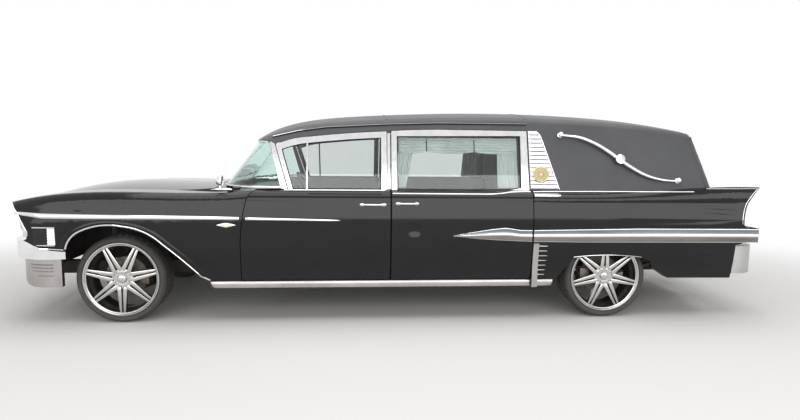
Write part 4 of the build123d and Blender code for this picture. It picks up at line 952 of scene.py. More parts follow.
SPEAR_ROWS = [(0, 0), (0.08, 2.6), (0.25, 4.6), (0.45, 5.5), (0.65, 5.2), (0.85, 3.4), (1, 0)]
WIDE_SPEAR_ROWS = [(0, 0), (0.02, 4.4), (0.05, 5), (0.08, 4.6), (0.1, 1.4), (0.2, 0.8), (0.33, 1.0),
                   (0.42, 2.4), (0.47, 5.2), (0.5, 5.6), (0.53, 5.2), (0.6, 3.4), (0.75, 3.6), (0.92, 3.4),
                   (0.96, 2.4), (1, 0)]
BEAD_ROWS = [(0, 0), (0.2, 5), (0.5, 7), (0.8, 5), (1, 0)]


class HEARSE_OT_side_trim(bpy.types.Operator):
    """Adds the spears, arch lips, sill strips, belt beads, fin edges and louvres of both sides."""
    bl_idname = "hearse.side_trim"
    bl_label = "Side trim"

    def execute(self, context):
        fender, quarter = skin_of("front_fenders"), skin_of("quarter_panels")
        front_door, rear_door = skin_of("door_front_left"), skin_of("door_rear_left")
        floor = skin_of("floor_pan")

        spear = moulding("spear_fender", [(-727, 899, 878), (-538, 888, 851), (650, 871, 846),
                                          (946, 865, 843.5)], SPEAR_ROWS, fender)
        bright(spear)
        spear = moulding("spear_door", [(954, 865, 843.5), (1650, 848.5, 834.5), (1715, 845.5, 837),
                                        (1731, 843, 840)], SPEAR_ROWS, front_door)
        bright(spear, "door_front_left")
        for part, body, skin, stations in (
                ("door", "door_rear_left", rear_door,
                 [(2639, 716, 713), (2771, 744, 697), (2960, 773, 684), (3061, 783, 679), (3110, 778, 677),
                  (3188, 765, 673), (3286, 764, 669)]),
                ("quarter", "root", quarter,
                 [(3301, 764, 668), (3692, 770, 662), (4195, 777, 660), (5085, 774, 657), (5224, 772, 656)])):
            spear = painted(moulding(f"broad_spear_{part}", stations, WIDE_SPEAR_ROWS, skin), "chrome")
            # The channel of the broad spear gets the darker grey chrome as painted shade.
            banded(spear, stations, "painted_shade_chrome", 0.085, 0.41)
            # The lower band of the broad spear gets the darker brownish chrome as a painted reflection.
            banded(spear, stations, "painted_reflection_chrome", 0.57, 0.96)
            ride_pair(spear, body, None)

        arch = bow([(-366, 612), (-276, 736, -335, 681), (57, 785, -110, 791), (355, 644, 215, 743),
                    (632, 380, 510, 506), (700, 345)])
        bright(lip("arch_lip_front", arch, 15, BEAD_ROWS, fender))
        raised = [p + (p - Vector((60, 300))).normalized() * 16 for p in arch[:-1]]
        band = lip("arch_band_front", raised, 34,
                   [(0, 0), (0.25, 4), (0.7, 6), (0.95, 5), (1, 0)], fender)
        ride_pair(band, "root", "gloss_black")
        bright(lip("arch_lip_rear", bow([(3647, 532), (4224, 530, 3923, 549)]), 9, BEAD_ROWS, quarter))

        sill_rows = [(0, 0), (0.06, 5), (0.12, 7), (0.5, 8), (0.88, 7), (0.94, 5), (1, 0)]
        sill = moulding("sill_strip", [(708, 343, 330), (724, 343, 300), (742, 343, 286), (3292, 343, 286)],
                        sill_rows, floor, spacing=120)
        bright(sill, finish_name="worn_chrome")
        sill = moulding("sill_end", [(3299, 344, 286), (3455, 344, 286), (3472, 344, 290), (3486, 344, 312)],
                        sill_rows, floor, spacing=60)
        bright(sill, finish_name="worn_chrome")

        strip = tube("belt_front", [spot(x, -924, 1074) for x in range(1290, 2100, 40)], 5.5)
        bright(strip, "door_front_left")
        belt = bow([(2150, 1052), (2900, 1050), (3110, 1066, 3010, 1054), (3283, 1070, 3200, 1069)])
        bright(bead("belt_rear", belt, rear_door, 5.5, spacing=40), "door_rear_left")
        # A dark bead under the front door window stands for the shade under the door's upper crease: painted
        # shade.
        crease_shade = bead("painted_shade_line", [(1480, 1050), (2060, 1047)], front_door, 4, 0.5)
        ride_pair(crease_shade, "door_front_left", "dark_recess")
        foot = moulding("panel_foot", [(3305, 1060, 1032), (3500, 1060, 1032), (3520, 1057, 1036),
                                       (3528, 1050, 1043)],
                        [(0, 0), (0.1, 4), (0.5, 6), (0.9, 4), (1, 0)], quarter, spacing=60)
        bright(foot, finish_name="worn_chrome")
        # The dark strip on the fender under the door mirror is the mirror's painted shadow; the scuff beside it
        # is wear.
        shadow_strip = moulding("painted_mirror_shadow", [(765, 1035, 1025), (855, 1034, 1024)],
                        [(0, 0.2), (0.5, 0.8), (1, 0.2)], fender, spacing=30, back=1.5)
        scuff = moulding("fender_scuff", [(-304, 913, 911), (-286, 918, 905), (-262, 919, 903),
                                          (-238, 914, 909)],
                         [(0, 0.2), (0.5, 0.7), (1, 0.2)], fender, spacing=12, back=1.5)
        ride(join("fender_marks", [shadow_strip, scuff]), "root", "dark_recess")
        bright(bead("belt_quarter", [(3305, 1070), (3540, 1071), (4250, 1075), (4655, 1079)], quarter, 4.5))

        fin = bow([(5100, 812), (5234, 1104, 5122, 962)])
        edges = [bead("fin_rear", fin, quarter, 4.5, spacing=30),
                 bead("fin_inner", [p - Vector((20, 0)) for p in fin], quarter, 2.8, spacing=30),
                 bead("fin_top", [(4770, 1104), (5228, 1108)], quarter, 2.6)]
        bright(join("fin_edge", edges))

        plate = moulding("badge", [(772, 803.5, 801.5), (806, 813, 792), (846, 821, 784), (886, 813, 792),
                                   (920, 803.5, 801.5)], [(0, 0), (0.12, 2), (0.5, 2.4), (0.88, 2), (1, 0)],
                         fender, spacing=12)
        cream = moulding("badge_field", [(800, 806, 799), (846, 817, 788), (892, 806, 799)],
                         [(0, 2), (0.3, 3.4), (0.5, 3.8), (0.7, 3.4), (1, 2)], fender, spacing=12)
        badge = join("badge", [painted(plate, "chrome"), painted(cream, "cream_enamel")])
        ride_pair(badge, "root", None)

        bars = [moulding("louvre_post", [(3301, 655, 284), (3347, 655, 284)],
                         [(0, 0), (0.01, 8), (0.5, 9), (0.99, 8), (1, 0)], quarter, spacing=12)]
        for index in range(7):
            top = 636 - index * 40.5
            reach = 3424 - index * 2
            bars.append(moulding(f"louvre_bar_{index}", [(3344, top, top - 11), (reach - 12, top, top - 11),
                                                         (reach, top - 4, top - 7)], BEAD_ROWS, quarter))
        bright(join("louvre", bars), finish_name="worn_chrome")
        return {"FINISHED"}


# Wheels

HUB_Z = 352
HUB_Y = 787
SPOKES = 7
SPOKE_SEAT, SPOKE_THICK = 79, 27
SPOKE_RISE, SPOKE_RISE_FROM, SPOKE_RISE_OVER = 5, 90, 180
LUGS = 5
LUG_CIRCLE = 63.5
RIM_FACE_REACH = 101
REAR_TREAD_TURN = 0.31
TREAD_FACES = 120
SLOT_EDGE, SLOT_DEPTH = 1.2, 4.5


def about_hub(x, angle):
    """Turn about the axle at a place along the car."""
    hub = spot(x, 0, HUB_Z)
    return Matrix.Translation(hub) @ Matrix.Rotation(angle, 4, "Y") @ Matrix.Translation(-spot(0, 0, HUB_Z))


def hub_turns(count):
    """Even turns about the front hub."""
    return [about_hub(0, math.tau * k / count) for k in range(count)]


def ride_wheel_pair(piece, kind, end, replaces=None):
    """A left wheel's piece and its mirror image, each on its own wheel."""
    twin = copied(piece, f"{kind}_{end}_right", FLIP)
    for each, hand in ((piece, "left"), (twin, "right")):
        each.name = f"{kind}_{end}_{hand}"
        ride(each, f"wheel_{end}_{hand}", None, [f"{replaces}_{end}_{hand}"] if replaces else [])


def wheel_place(x, across, up, reach):
    """Place on the left front wheel: across and up from the hub, and reach outwards."""
    return spot(x + across, -HUB_Y - reach, HUB_Z + up)


class HEARSE_OT_wheels(bpy.types.Operator):
    """Turns the rims and cuts the seven pairs of spokes, with hubs, lug nuts and brake discs."""
    bl_idname = "hearse.wheels"
    bl_label = "Wheels"

    def execute(self, context):
        centre = wheel_place(0, 0, 0, 0)
        rim = lathe("rim", centre, OUTWARD, [
            (296, 119), (294.5, 121), (287, 121), (284, 118), (280, 112), (272.5, 108), (270.5, 103),
            (270.5, 60), (252.5, 30), (252.5, -70), (270.5, -100), (270.5, -119), (273, -121), (294.5, -121),
            (296, -119), (296, -113), (279.5, -113), (279.5, -90), (261.5, -70), (261.5, 30), (279.5, 60),
            (279.5, 113), (296, 113)], steps=96)
        painted(softened(rim, 0, angle=28), "machined_alloy")
        # Rim faces inside the outer face are painted dark as shade.
        give_faces(rim, "barrel_painted_shade", lambda c, n: -c.y < (HUB_Y + RIM_FACE_REACH) * MM)
        hub = lathe("hub", centre, OUTWARD, [
            (0, 62), (84, 62), (90, 70), (90, 78), (82, 92), (76, 96), (50, 98), (46, 97), (0, 97)], steps=70)
        painted(hub, "machined_alloy")
        hole = lathe("hole", wheel_place(0, 0, -LUG_CIRCLE, 82), OUTWARD,
                     [(0, 0), (10.5, 0), (11.5, 40), (0, 40)], steps=20)
        holes = array(hole, "holes", hub_turns(LUGS))
        painted(holes, "dark_recess")
        applied(hub, "BOOLEAN", operation="DIFFERENCE", object=holes, solver="EXACT")
        bpy.data.objects.remove(holes)
        softened(hub, 0.8, angle=30)
        cap = turned("cap", centre, OUTWARD, [(0, 96), (34, 96), (35, 104), (32, 109), (22, 112.5), (0, 114)],
                     "machined_alloy", 0.8, 40)
        nut = lathe("nut", wheel_place(0, 0, -LUG_CIRCLE, 0), OUTWARD,
                    [(0, 82), (8.2, 82), (8.2, 91), (6.5, 94), (0, 94.5)], steps=6)
        nuts = array(softened(nut, 0.5), "nuts", hub_turns(LUGS))
        painted(nuts, "chrome")
        blades = []
        for side in (-1, 1):
            outline = ((8, 66), (42, 66), (37, 100), (22.5, 271), (5, 271), (6.5, 120))
            blade = pulled(f"blade_{side}", [wheel_place(0, side * a, -u, SPOKE_SEAT) for a, u in outline],
                           OUTWARD * SPOKE_THICK * MM)
            for corner in blade.data.vertices:
                height = (spot(0, 0, HUB_Z).z - corner.co.z) / MM
                if -corner.co.y > (HUB_Y + 90) * MM:
                    corner.co.y -= max(0.0, height - SPOKE_RISE_FROM) / SPOKE_RISE_OVER * SPOKE_RISE * MM
            blades.append(softened(blade, 3.4, angle=30))
        pair = painted(join("pair", blades), "machined_alloy")
        spokes = array(pair, "spokes", hub_turns(SPOKES))
        stem = turned("stem", wheel_place(0, 60, -262, 0), OUTWARD,
                      [(0, 84), (4, 84), (4, 104), (2.8, 108), (2.8, 116), (0, 117)], "rubber_seal", steps=10)
        wheel = join("alloy_front_left", [rim, hub, cap, nuts, spokes, stem])

        disc = turned("disc", centre, OUTWARD, [
            (60, 0), (92, 0), (94, -4), (98, -4), (100, 0), (163, 0), (165, -2), (165, -8), (158, -9),
            (158, -15), (165, -16), (165, -22), (163, -24), (60, -24)], "brake_iron", steps=64, angle=28)
        bell = turned("bell", centre, OUTWARD, [(30, 62), (78, 62), (84, 54), (86, 0), (30, 0)],
                      "brake_iron", 1)
        disc = join("disc_front_left", [disc, bell])
        for end, x, turn in (("front", 0, 0), ("rear", WHEELBASE, math.pi)):
            for piece, kind, slot, node in ((wheel, "alloy", "alloy", "wheel"), (disc, "disc", "iron", None)):
                own = piece if end == "front" else copied(piece, f"{kind}_rear_left", about_hub(x, turn))
                ride_wheel_pair(own, kind, end, node)
        return {"FINISHED"}


class HEARSE_OT_calipers(bpy.types.Operator):
    """Sets a brake caliper over the edge of each disc."""
    bl_idname = "hearse.calipers"
    bl_label = "Brake calipers"

    def execute(self, context):
        for end, x, side, body in (("front", 0, 1, "knuckle_left"), ("rear", WHEELBASE, -1, "root")):
            def part(name, near, far, inner, outer, half, round_off):
                xs = sorted((x + side * near, x + side * far))
                return block(name, spot(xs[0], -HUB_Y - outer, HUB_Z - half),
                             spot(xs[1], -HUB_Y - inner, HUB_Z + half), round_off)

            parts = [part("outer", 101, 190, 8, 42, 58, 9), part("inner", 96, 190, -66, -30, 58, 9),
                     part("bridge", 172, 190, -60, 36, 52, 5), part("window", 176, 193, -40, 12, 22, 3)]
            if end == "rear":
                parts.append(part("bracket", 20, 110, -60, -34, 26, 4))
            ride_pair(join(f"caliper_{end}", parts), body, "brake_iron")
        return {"FINISHED"}


class HEARSE_OT_tyres(bpy.types.Operator):
    """Turns the low tyres, with their grooves, shoulder slots and side rings."""
    bl_idname = "hearse.tyres"
    bl_label = "Tyres"

    def execute(self, context):
        half = [(280, 112), (297, 112.5), (303, 117), (305, 119.5), (307, 119), (316, 121.4), (325, 121),
                (326.5, 122), (328.5, 122), (330, 120.6), (338, 115), (344, 108), (348, 100), (349.5, 94),
                (350, 82), (350, 76), (344, 75), (344, 69), (350.6, 68), (351, 38), (345, 37), (345, 29),
                (351.2, 28), (351.6, 6)]
        profile = half + [(r, -h) for r, h in reversed(half)]
        centre = wheel_place(0, 0, 0, 0)
        tyre = lathe("tyre", centre, OUTWARD, profile, steps=TREAD_FACES)
        turn = 360 / TREAD_FACES
        with editing(tyre):
            mesh = bmesh.from_edit_mesh(tyre.data)
            for face in mesh.faces:
                place = face.calc_center_median() - centre
                radius, reach = math.hypot(place.x, place.z) / MM, abs(place.y) / MM
                around = math.degrees(math.atan2(place.z, place.x)) % 360
                step = int(round((around - turn / 2) / turn)) % 3
                shoulder = step == 0 and radius > 342 and 78 < reach < 106
                rib = step == 1 and radius > 349 and 40 < reach < 66
                face.select_set(shoulder or rib)
            bmesh.update_edit_mesh(tyre.data)
            bpy.ops.mesh.inset(thickness=SLOT_EDGE * MM, depth=-SLOT_DEPTH * MM, use_individual=True)
        painted(softened(tyre, 0, angle=32), "tyre_rubber")
        for end, x in (("front", 0), ("rear", WHEELBASE)):
            own = tyre if end == "front" else copied(tyre, "tread_rear_left", about_hub(x, REAR_TREAD_TURN))
            ride_wheel_pair(own, "tread", end, "tyre")
        return {"FINISHED"}


# Landau panels and bars

class HEARSE_OT_landau(bpy.types.Operator):
    """Adds the ribbed panel, its round plaque and the S-shaped bar on each side of the roof."""
    bl_idname = "hearse.landau"
    bl_label = "Landau panels and bars"

    def execute(self, context):
        ribs, low, high, front = 14, 1089, 1565, 3294
        rear_edge = [Vector((3533, low)), Vector((3399, 1527)), Vector((3357, high))]
        columns, lines = 8, []
        for column in range(columns + 1):
            line = []
            for row in range(ribs * 4 + 1):
                z = high + (low - high) * row / (ribs * 4)
                a, b = (rear_edge[0], rear_edge[1]) if z < rear_edge[1].y else (rear_edge[1], rear_edge[2])
                rear = a.x + (b.x - a.x) * (z - a.y) / (b.y - a.y)
                height = 2.0 if column in (0, columns) else (2.5, 8.5, 10.0, 9.0)[row % 4]
                line.append(on_window(front + (rear - front) * column / columns, z, height))
            lines.append(line)
        panel = painted(sheet_of("landau_panel", lines, 2, angle=25), "brushed_silver")
        # Rib faces that look down or sideways get the darker grey chrome as painted shade.
        give_faces(panel, "painted_shade_chrome", lambda c, n: n.z < 0.12)
        ride_pair(panel, "root", None, ["landau_panels"])
        rim = tube("landau_rim", [on_window(x, z, 5) for x, z in
                                  ((3357, 1566), (3378, 1551), (3399, 1527), (3444, 1381), (3489, 1236),
                                   (3533, 1089))], 4.5)
        bright(rim)
        seat = on_window(3384, 1208, 8)
        ring = turned("plaque_ring", seat, WINDOW_OUT, [
            (0, 0), (64, 0), (67, 4), (66, 8), (62, 10), (57, 8), (55, 4), (0, 4)], "old_gold", 0.6, 56)
        field = turned("plaque_field", seat, WINDOW_OUT, [
            (0, 3), (56, 3), (56, 5.5), (38, 6), (35, 8.4), (32, 6.2), (0, 6)], "olive_enamel", 0.6)
        boss = turned("plaque_boss", seat, WINDOW_OUT, [
            (0, 5), (27, 5), (26, 8), (16, 10.5), (0, 11)], "rose_metal", 0.6, 32)
        heart = turned("plaque_heart", seat, WINDOW_OUT, [(0, 9), (9, 9), (8, 12), (0, 13)], "cream_enamel",
                       0.6, 20)
        leaf = lathe("wreath_leaf", seat + REARWARD * 47 * MM, WINDOW_OUT,
                     [(0, 4), (5, 4), (3.4, 8), (0, 9)], 8)
        turns = [about(seat, Matrix.Rotation(math.tau * k / 24, 4, WINDOW_OUT)) for k in range(24)]
        wreath = painted(softened(array(leaf, "wreath", turns), 0.6), "old_gold")
        ride_pair(join("plaque", [ring, field, boss, heart, wreath]), "root", None)

        line = [(3566, 1533), (3640, 1529), (3735, 1517), (3860, 1468), (3968, 1402), (4061, 1332),
                (4158, 1268), (4270, 1206), (4390, 1174), (4480, 1165), (4555, 1162)]
        thick = [0.62, 0.72, 0.95, 1.15, 1.28, 1.32, 1.22, 1.05, 0.85, 0.68, 0.6]
        parts = [rod("bar", [on_window(x, z, 30) for x, z in line], 13.5, "chrome", thick, resolution=5),
                 turned("knob", on_window(4061, 1332, 0), WINDOW_OUT, [
                     (0, 2), (24, 2), (27, 12), (38, 20), (43, 30), (43, 38), (39, 44), (34, 45), (32, 41),
                     (27, 41), (25, 47), (18, 51), (0, 52)], "chrome", steps=40)]
        for x, z in (line[0], line[-1]):
            parts.append(turned("end", on_window(x, z, 0), WINDOW_OUT, [
                (0, 1), (21, 1), (21, 5), (13, 9), (11, 18), (17, 24), (20, 32), (18, 40), (10, 45), (0, 46)],
                                "chrome", steps=28))
        ride_pair(join("landau_bar", parts), "root", None, ["landau_bars"])
        return {"FINISHED"}


# Front end

APRON_TOP_Z = 531


class HEARSE_OT_front_end(bpy.types.Operator):
    """Dresses the front bumper, grille and lamps, and adds the side vents and the nose trim."""
    bl_idname = "hearse.front_end"
    bl_label = "Front end"

    def execute(self, context):
        fender = skin_of("front_fenders")
        bumper = dressed("bumper_front", "bumper_front_bar", "chrome", bevel=7.0)
        give_faces(bumper, "worn_chrome", lambda c, n: c.z < APRON_TOP_Z * MM)
        ride(bumper, "root", None, ["bumper_front"])
        skin = skin_of("bumper_front")
        ribs = [moulding(f"apron_rib_{row}", [(front, z - 3, z - 6), (front + 8, z, z - 9), (-489, z, z - 9),
                                             (-481, z - 3, z - 6)],
                         BEAD_ROWS, skin, back=4) for row, (front, z) in
                enumerate(((-673, 488), (-667, 463), (-661, 437), (-609, 402)))]
        bright(join("apron_ribs", ribs), finish_name="worn_chrome")

        both = skin_of("front_fenders", "bumper_front")
        ledge = moulding("bumper_ledge", [(-560, 623, 614), (-384, 614, 602)],
                         [(0, 0), (0.2, 5), (0.8, 6), (1, 0)], both)
        bright(ledge)
        outline = ((-716, 881), (-716, 909), (-742, 913), (-757, 902), (-760, 890), (-750, 882))
        visor = drawn("lamp_visor", -566, outline, -352)
        nose = tube("nose", [spot(-690, -948, 884), spot(-722, -950, 887), (spot(-746, -940, 891)),
                             spot(-757, -918, 894)], 12, [0.7, 0.95, 1.0, 0.8])
        brow = bead("brow", [(-781, 958), (-727, 886), (-690, 818), (-655, 752)], fender, 4, spacing=20)
        bright(join("lamp_visor", [softened(visor, 5), nose, brow]))
        edge = [spot(-751, y, 938 + 32 * (1 - (y / 690) ** 2)) for y in range(-670, 671, 67)]
        ride(tube("hood_lip", edge, 6.5), "hood", "chrome")
        ride(dressed("grille", "grille_bars", "chrome", bevel=1.2), "root", None, ["grille"])

        panel = pulled("lamp_panel", [spot(-716, -y, z) for y, z in
                                      ((567, 692), (922, 700), (914, 860), (868, 905), (567, 905))],
                       Vector((36 * MM, 0, 0)))
        parts = [painted(softened(panel, 5), "chrome")]
        for y in (655, 815):
            seat = spot(0, -y, 800)
            parts += [
                turned("bezel", seat, FORWARD, [
                    (0, 704), (78, 704), (78, 740), (76, 748), (71, 750), (68, 744), (66, 728), (0, 728)],
                       "chrome", 1, 56),
                turned("bowl", seat, FORWARD, [
                    (0, 722), (60, 738), (66, 744), (69, 744), (66, 730), (0, 714)], "reflector"),
                turned("lens", seat, FORWARD, [
                    (69, 744), (69, 748), (60, 757), (40, 764), (20, 767), (0, 767.5), (0, 763), (40, 760),
                    (60, 753), (66, 745)], "lamp_glass", steps=56)]
        ride_pair(join("lamps", parts), "root", None, ["headlamps"])

        bars = [moulding("vent_top", [(-611, 785, 773), (-440, 785, 773)], BEAD_ROWS, fender, back=4),
                moulding("vent_low", [(-619, 647, 635), (-446, 647, 635)], BEAD_ROWS, fender, back=4)]
        for index in range(10):
            top = 772 - index * 12.6
            front = -494 - index * 0.4
            bars.append(moulding(f"vent_rib_{index}", [(front, top, top - 10), (front + 54, top, top - 10)],
                                 [(0, 2), (0.25, 8), (0.6, 9), (1, 2)], fender, spacing=27, back=4))
        back_plate = moulding("vent_plate", [(-496, 774, 646), (-440, 774, 646)], [(0, 3), (0.5, 3), (1, 3)],
                              fender, back=4)
        trim = [painted(each, "chrome") for each in bars + [back_plate]]
        field = moulding("vent_field", [(-608, 773, 647), (-496, 773, 647)], [(0, 1), (0.5, 1.5), (1, 1)],
                         fender, back=2)
        ride_pair(join("vent", trim + [painted(field, "dark_recess")]), "root", None)
        return {"FINISHED"}


# Rear end

class HEARSE_OT_rear_end(bpy.types.Operator):
    """Dresses the rear bumper and the tail lamps."""
    bl_idname = "hearse.rear_end"
    bl_label = "Rear end"

    def execute(self, context):
        bumper = dressed("bumper_rear", "bumper_rear_bar", "matte_silver", bevel=7.0)
        ride(bumper, "root", None, ["bumper_rear"])
        seat = spot(0, -938, 716)
        ring = turned("tail_ring", seat, REARWARD, [
            (34, 5226), (48, 5226), (50, 5232), (49, 5245), (46, 5250), (41, 5248), (39, 5240), (34, 5238)],
                      "chrome", 0.5)
        lens = turned("tail_lens", seat, REARWARD, [
            (0, 5228), (40, 5228), (40, 5242), (36, 5250), (24, 5257), (8, 5261), (0, 5261)], "red_lens")
        ride_pair(join("tail_lamp", [ring, lens]), "root", None, ["tail_lamps"])
        skin = skin_of("tailgate")

        def rear(y, z, out):
            hit, _, _, _ = skin.ray_cast(spot(5700, y, z), FORWARD, 1.5)
            return hit + Vector((out * MM, 0, 0))

        grip = [rear(455, z, 26) + REARWARD * bend * MM for z, bend in
                ((918, 0), (900, 4), (870, 6), (835, 6), (805, 4), (787, 0))]
        parts = [softened(lathe("foot", rear(455, z, -2), REARWARD, [
            (0, 0), (15, 0), (14, 6), (8, 12), (7, 34), (0, 34)], 24), 0.6) for z in (905, 800)]
        parts.append(tube("grip", grip, 7.5, [0.6, 1, 1.1, 1.1, 1, 0.6]))
        ride(join("rear_handle", parts), "tailgate", "chrome")
        for number, z in enumerate((730, 1010)):
            lines = []
            for y in range(-545, -319, 15):
                half = 24 - 15 * ((y + 545) / 225) ** 1.5
                lines.append([rear(y, z + half * rise, 1 + 5 * (1 - rise * rise))
                              for rise in (1, 0.8, 0.3, -0.3, -0.8, -1)])
            strap = sheet_of(f"strap_{number}", lines[::-1], 3)
            barrel = tube("barrel", [rear(-545, z + rise, 5) for rise in (-33, -11, 11, 33)], 8)
            ride(join(f"hinge_strap_{number}", [strap, barrel]), "tailgate", "chrome")
        trim = [rear(y, 1062, 3) for y in range(-540, 541, 40)]
        ride(tube("rear_belt", trim, 5), "tailgate", "chrome")
        corners = ((-437, 1121), (437, 1121), (392, 1429), (-392, 1429), (-437, 1121))
        edge = resampled([Vector(corner) for corner in corners], 45)
        ride(tube("rear_window_bead", [rear(y, z, 1.5) for y, z in edge[:-1]], 5.5, closed=True), "tailgate",
             "chrome")
        return {"FINISHED"}


# Curtains

SWAG_DROP, DRAPE_DROP = 260, 420
SWAG_TOP_Z, SWAG_HEIGHT, SWAG_BELLY, SWAG_SET_BACK = 1503, 118, 16, 51
DRAPE_TOP_Z, DRAPE_HEIGHT, DRAPE_SET_BACK = 1395, 303, 54


def cloth_grid(name, across, down):
    """Fine flat grid that is shaped into a cloth."""
    deselect()
    bpy.ops.mesh.primitive_grid_add(x_subdivisions=across, y_subdivisions=down, size=2)
    return named(name)


class HEARSE_OT_curtains(bpy.types.Operator):
    """Hangs the pleated swags and the side drapes behind the rear door windows."""
    bl_idname = "hearse.curtains"
    bl_label = "Curtains"

    def execute(self, context):
        cabin = context.scene.hearse_cabin
        depth = cabin.fold_depth / MM
        cloths = []
        for index, (front, rear) in enumerate(((2207, 2436), (2446, 2836), (2846, 3204))):
            swag = cloth_grid(f"swag_{index}", 28, 40)
            for corner in swag.data.vertices:
                u, v = (corner.co.x + 1) / 2, (1 - corner.co.y) / 2
                bellied = 1 - (2 * u - 1) ** 2
                z = SWAG_TOP_Z - v * (SWAG_HEIGHT + SWAG_BELLY * bellied)
                deep = depth * 0.75 * (0.35 + 0.65 * bellied)
                fold = math.sin(math.tau * (v * 5 + 0.5 * bellied * v)) * deep
                corner.co = on_window(front + u * (rear - front), z,
                                      -SWAG_SET_BACK + fold + 3 * bellied * v)
            cloths.append((swag, SWAG_DROP))
        for name, top, foot in (("drape_front", (2207, 2322), (2207, 2262)),
                                ("drape_rear", (3034, 3204), (3028, 3204))):
            drape = cloth_grid(name, cabin.drape_folds * 12, 30)
            for corner in drape.data.vertices:
                u, v = (corner.co.x + 1) / 2, (1 - corner.co.y) / 2
                gather = v ** 1.4
                first = top[0] + (foot[0] - top[0]) * gather
                last = top[1] + (foot[1] - top[1]) * gather
                fold = math.sin(math.tau * u * cabin.drape_folds + 0.6 * noise.noise((u * 3, v * 2, 0)))
                z = DRAPE_TOP_Z - v * DRAPE_HEIGHT
                corner.co = on_window(first + u * (last - first), z, -DRAPE_SET_BACK + fold * depth * 0.8)
            cloths.append((drape, DRAPE_DROP))
        for cloth, drop in cloths:
            applied(cloth, "SOLIDIFY", thickness=1.2 * MM, offset=0)
            softened(tidy(cloth, 1e-6), 0, angle=60)
            replaced = ["curtain_left"] if cloth.name.startswith("swag_0") else []
            pair = ride_pair(cloth, "door_rear_left", "curtain_cloth", replaced)
        return {"FINISHED"}


# Seat

CHANNEL_PITCH, CHANNEL_DEPTH = 90, 5
SEAT_TOP_FROM_Z = 660
SEAT_BACK_X, SEAT_BACK_Z, SEAT_BACK_LEAN = 2125, 690, 0.2


def back_x(z):
    """Place along the car of the middle of the leaning seat back, at a height in metres."""
    return spot(SEAT_BACK_X, 0, 0).x + (z - SEAT_BACK_Z * MM) * SEAT_BACK_LEAN


def swollen(piece, voxel, limit):
    """Fills a seat pad by cloth pressure, with a cap on how far any point may go."""
    applied(piece, "REMESH", mode="VOXEL", voxel_size=voxel * MM)
    before = [v.co.copy() for v in piece.data.vertices]
    take(piece)
    cloth = piece.modifiers.new("Cloth", "CLOTH")
    cloth.settings.use_pressure = True
    cloth.settings.uniform_pressure_force = 4
    cloth.settings.effector_weights.gravity = 0
    cloth.settings.quality = 4
    for step in range(1, 21):
        bpy.context.scene.frame_set(step)
    bpy.ops.object.modifier_apply(modifier="Cloth")
    bpy.context.scene.frame_set(1)
    for corner, old in zip(piece.data.vertices, before):
        move = corner.co - old
        if move.length > limit * MM:
            corner.co = old + move.normalized() * limit * MM
    return piece


class HEARSE_OT_seat(bpy.types.Operator):
    """Makes the padded cushion and back of the bench seat, with sewn channels."""
    bl_idname = "hearse.seat"
    bl_label = "Bench seat"

    def execute(self, context):
        forms = (
            ("seat_cushion", [(1575, 560), (2085, 520), (2085, 640), (2060, 700), (1600, 742), (1572, 700)]),
            ("seat_back", [(2010, 690), (2125, 690), (2205, 1115), (2190, 1135), (2145, 1138), (2125, 1110)]),
        )
        for name, outline in forms:
            cushion = drawn(name, -628, outline, 1256)
            softened(cushion, 22, segments=3)
            swollen(cushion, voxel=13, limit=12)
            softened(cushion, 0, angle=60)
            for corner in cushion.data.vertices:
                channel = abs(math.cos(math.pi * corner.co.y / (CHANNEL_PITCH * MM)))
                pinch = max(0.0, 1 - channel * 5) * CHANNEL_DEPTH * MM
                if name == "seat_cushion" and corner.co.z > SEAT_TOP_FROM_Z * MM:
                    corner.co.z -= pinch
                elif name == "seat_back" and corner.co.x < back_x(corner.co.z):
                    corner.co.x += pinch
            ride(cushion, "root", "seat_hide",
                 ["front_seat"] if name == "seat_cushion" else [])
        box = drawn("seat_box", -600, ((1590, 432), (2080, 432), (2100, 560), (1585, 560)), 1200)
        ride(softened(box, 8), "root", "carpet")
        return {"FINISHED"}


# Cabin

COLUMN_LEAN = math.radians(58)
COLUMN = Vector((math.sin(COLUMN_LEAN), 0, math.cos(COLUMN_LEAN)))
ACROSS = Vector((0, 1, 0))
UP_THE_WHEEL = COLUMN.cross(ACROSS)
STEERING_CENTRE = (1450, -380, 1010)
STEERING_RADIUS, HORN_RADIUS = 200, 125


def steering_rim():
    """Rim, horn ring, two spokes and boss of the steering wheel."""
    middle = spot(*STEERING_CENTRE)
    rim = ring_of(middle, ACROSS, UP_THE_WHEEL, STEERING_RADIUS * MM)
    horn = ring_of(middle, ACROSS, UP_THE_WHEEL, HORN_RADIUS * MM)
    parts = [rod("rim", rim, 13, "wheel_plastic", closed=True),
             rod("horn", horn, 4, "chrome", resolution=3, closed=True)]
    for hand in (-1, 1):
        points = [middle + ACROSS * hand * s * MM - COLUMN * d * MM for s, d in
                  ((30, 22), (80, 20), (140, 8), (196, 0))]
        parts.append(rod("spoke", points, 11, "wheel_plastic", [1.2, 1.0, 0.8, 0.7]))
    parts.append(turned("boss", middle, COLUMN, [
        (0, -60), (24, -60), (28, -40), (44, -24), (46, -6), (40, 2), (24, 9), (0, 12)], "wheel_plastic",
                        1, 40))
    ride(join("steering_rim", parts), "steering_wheel", None, ["steering_wheel"])


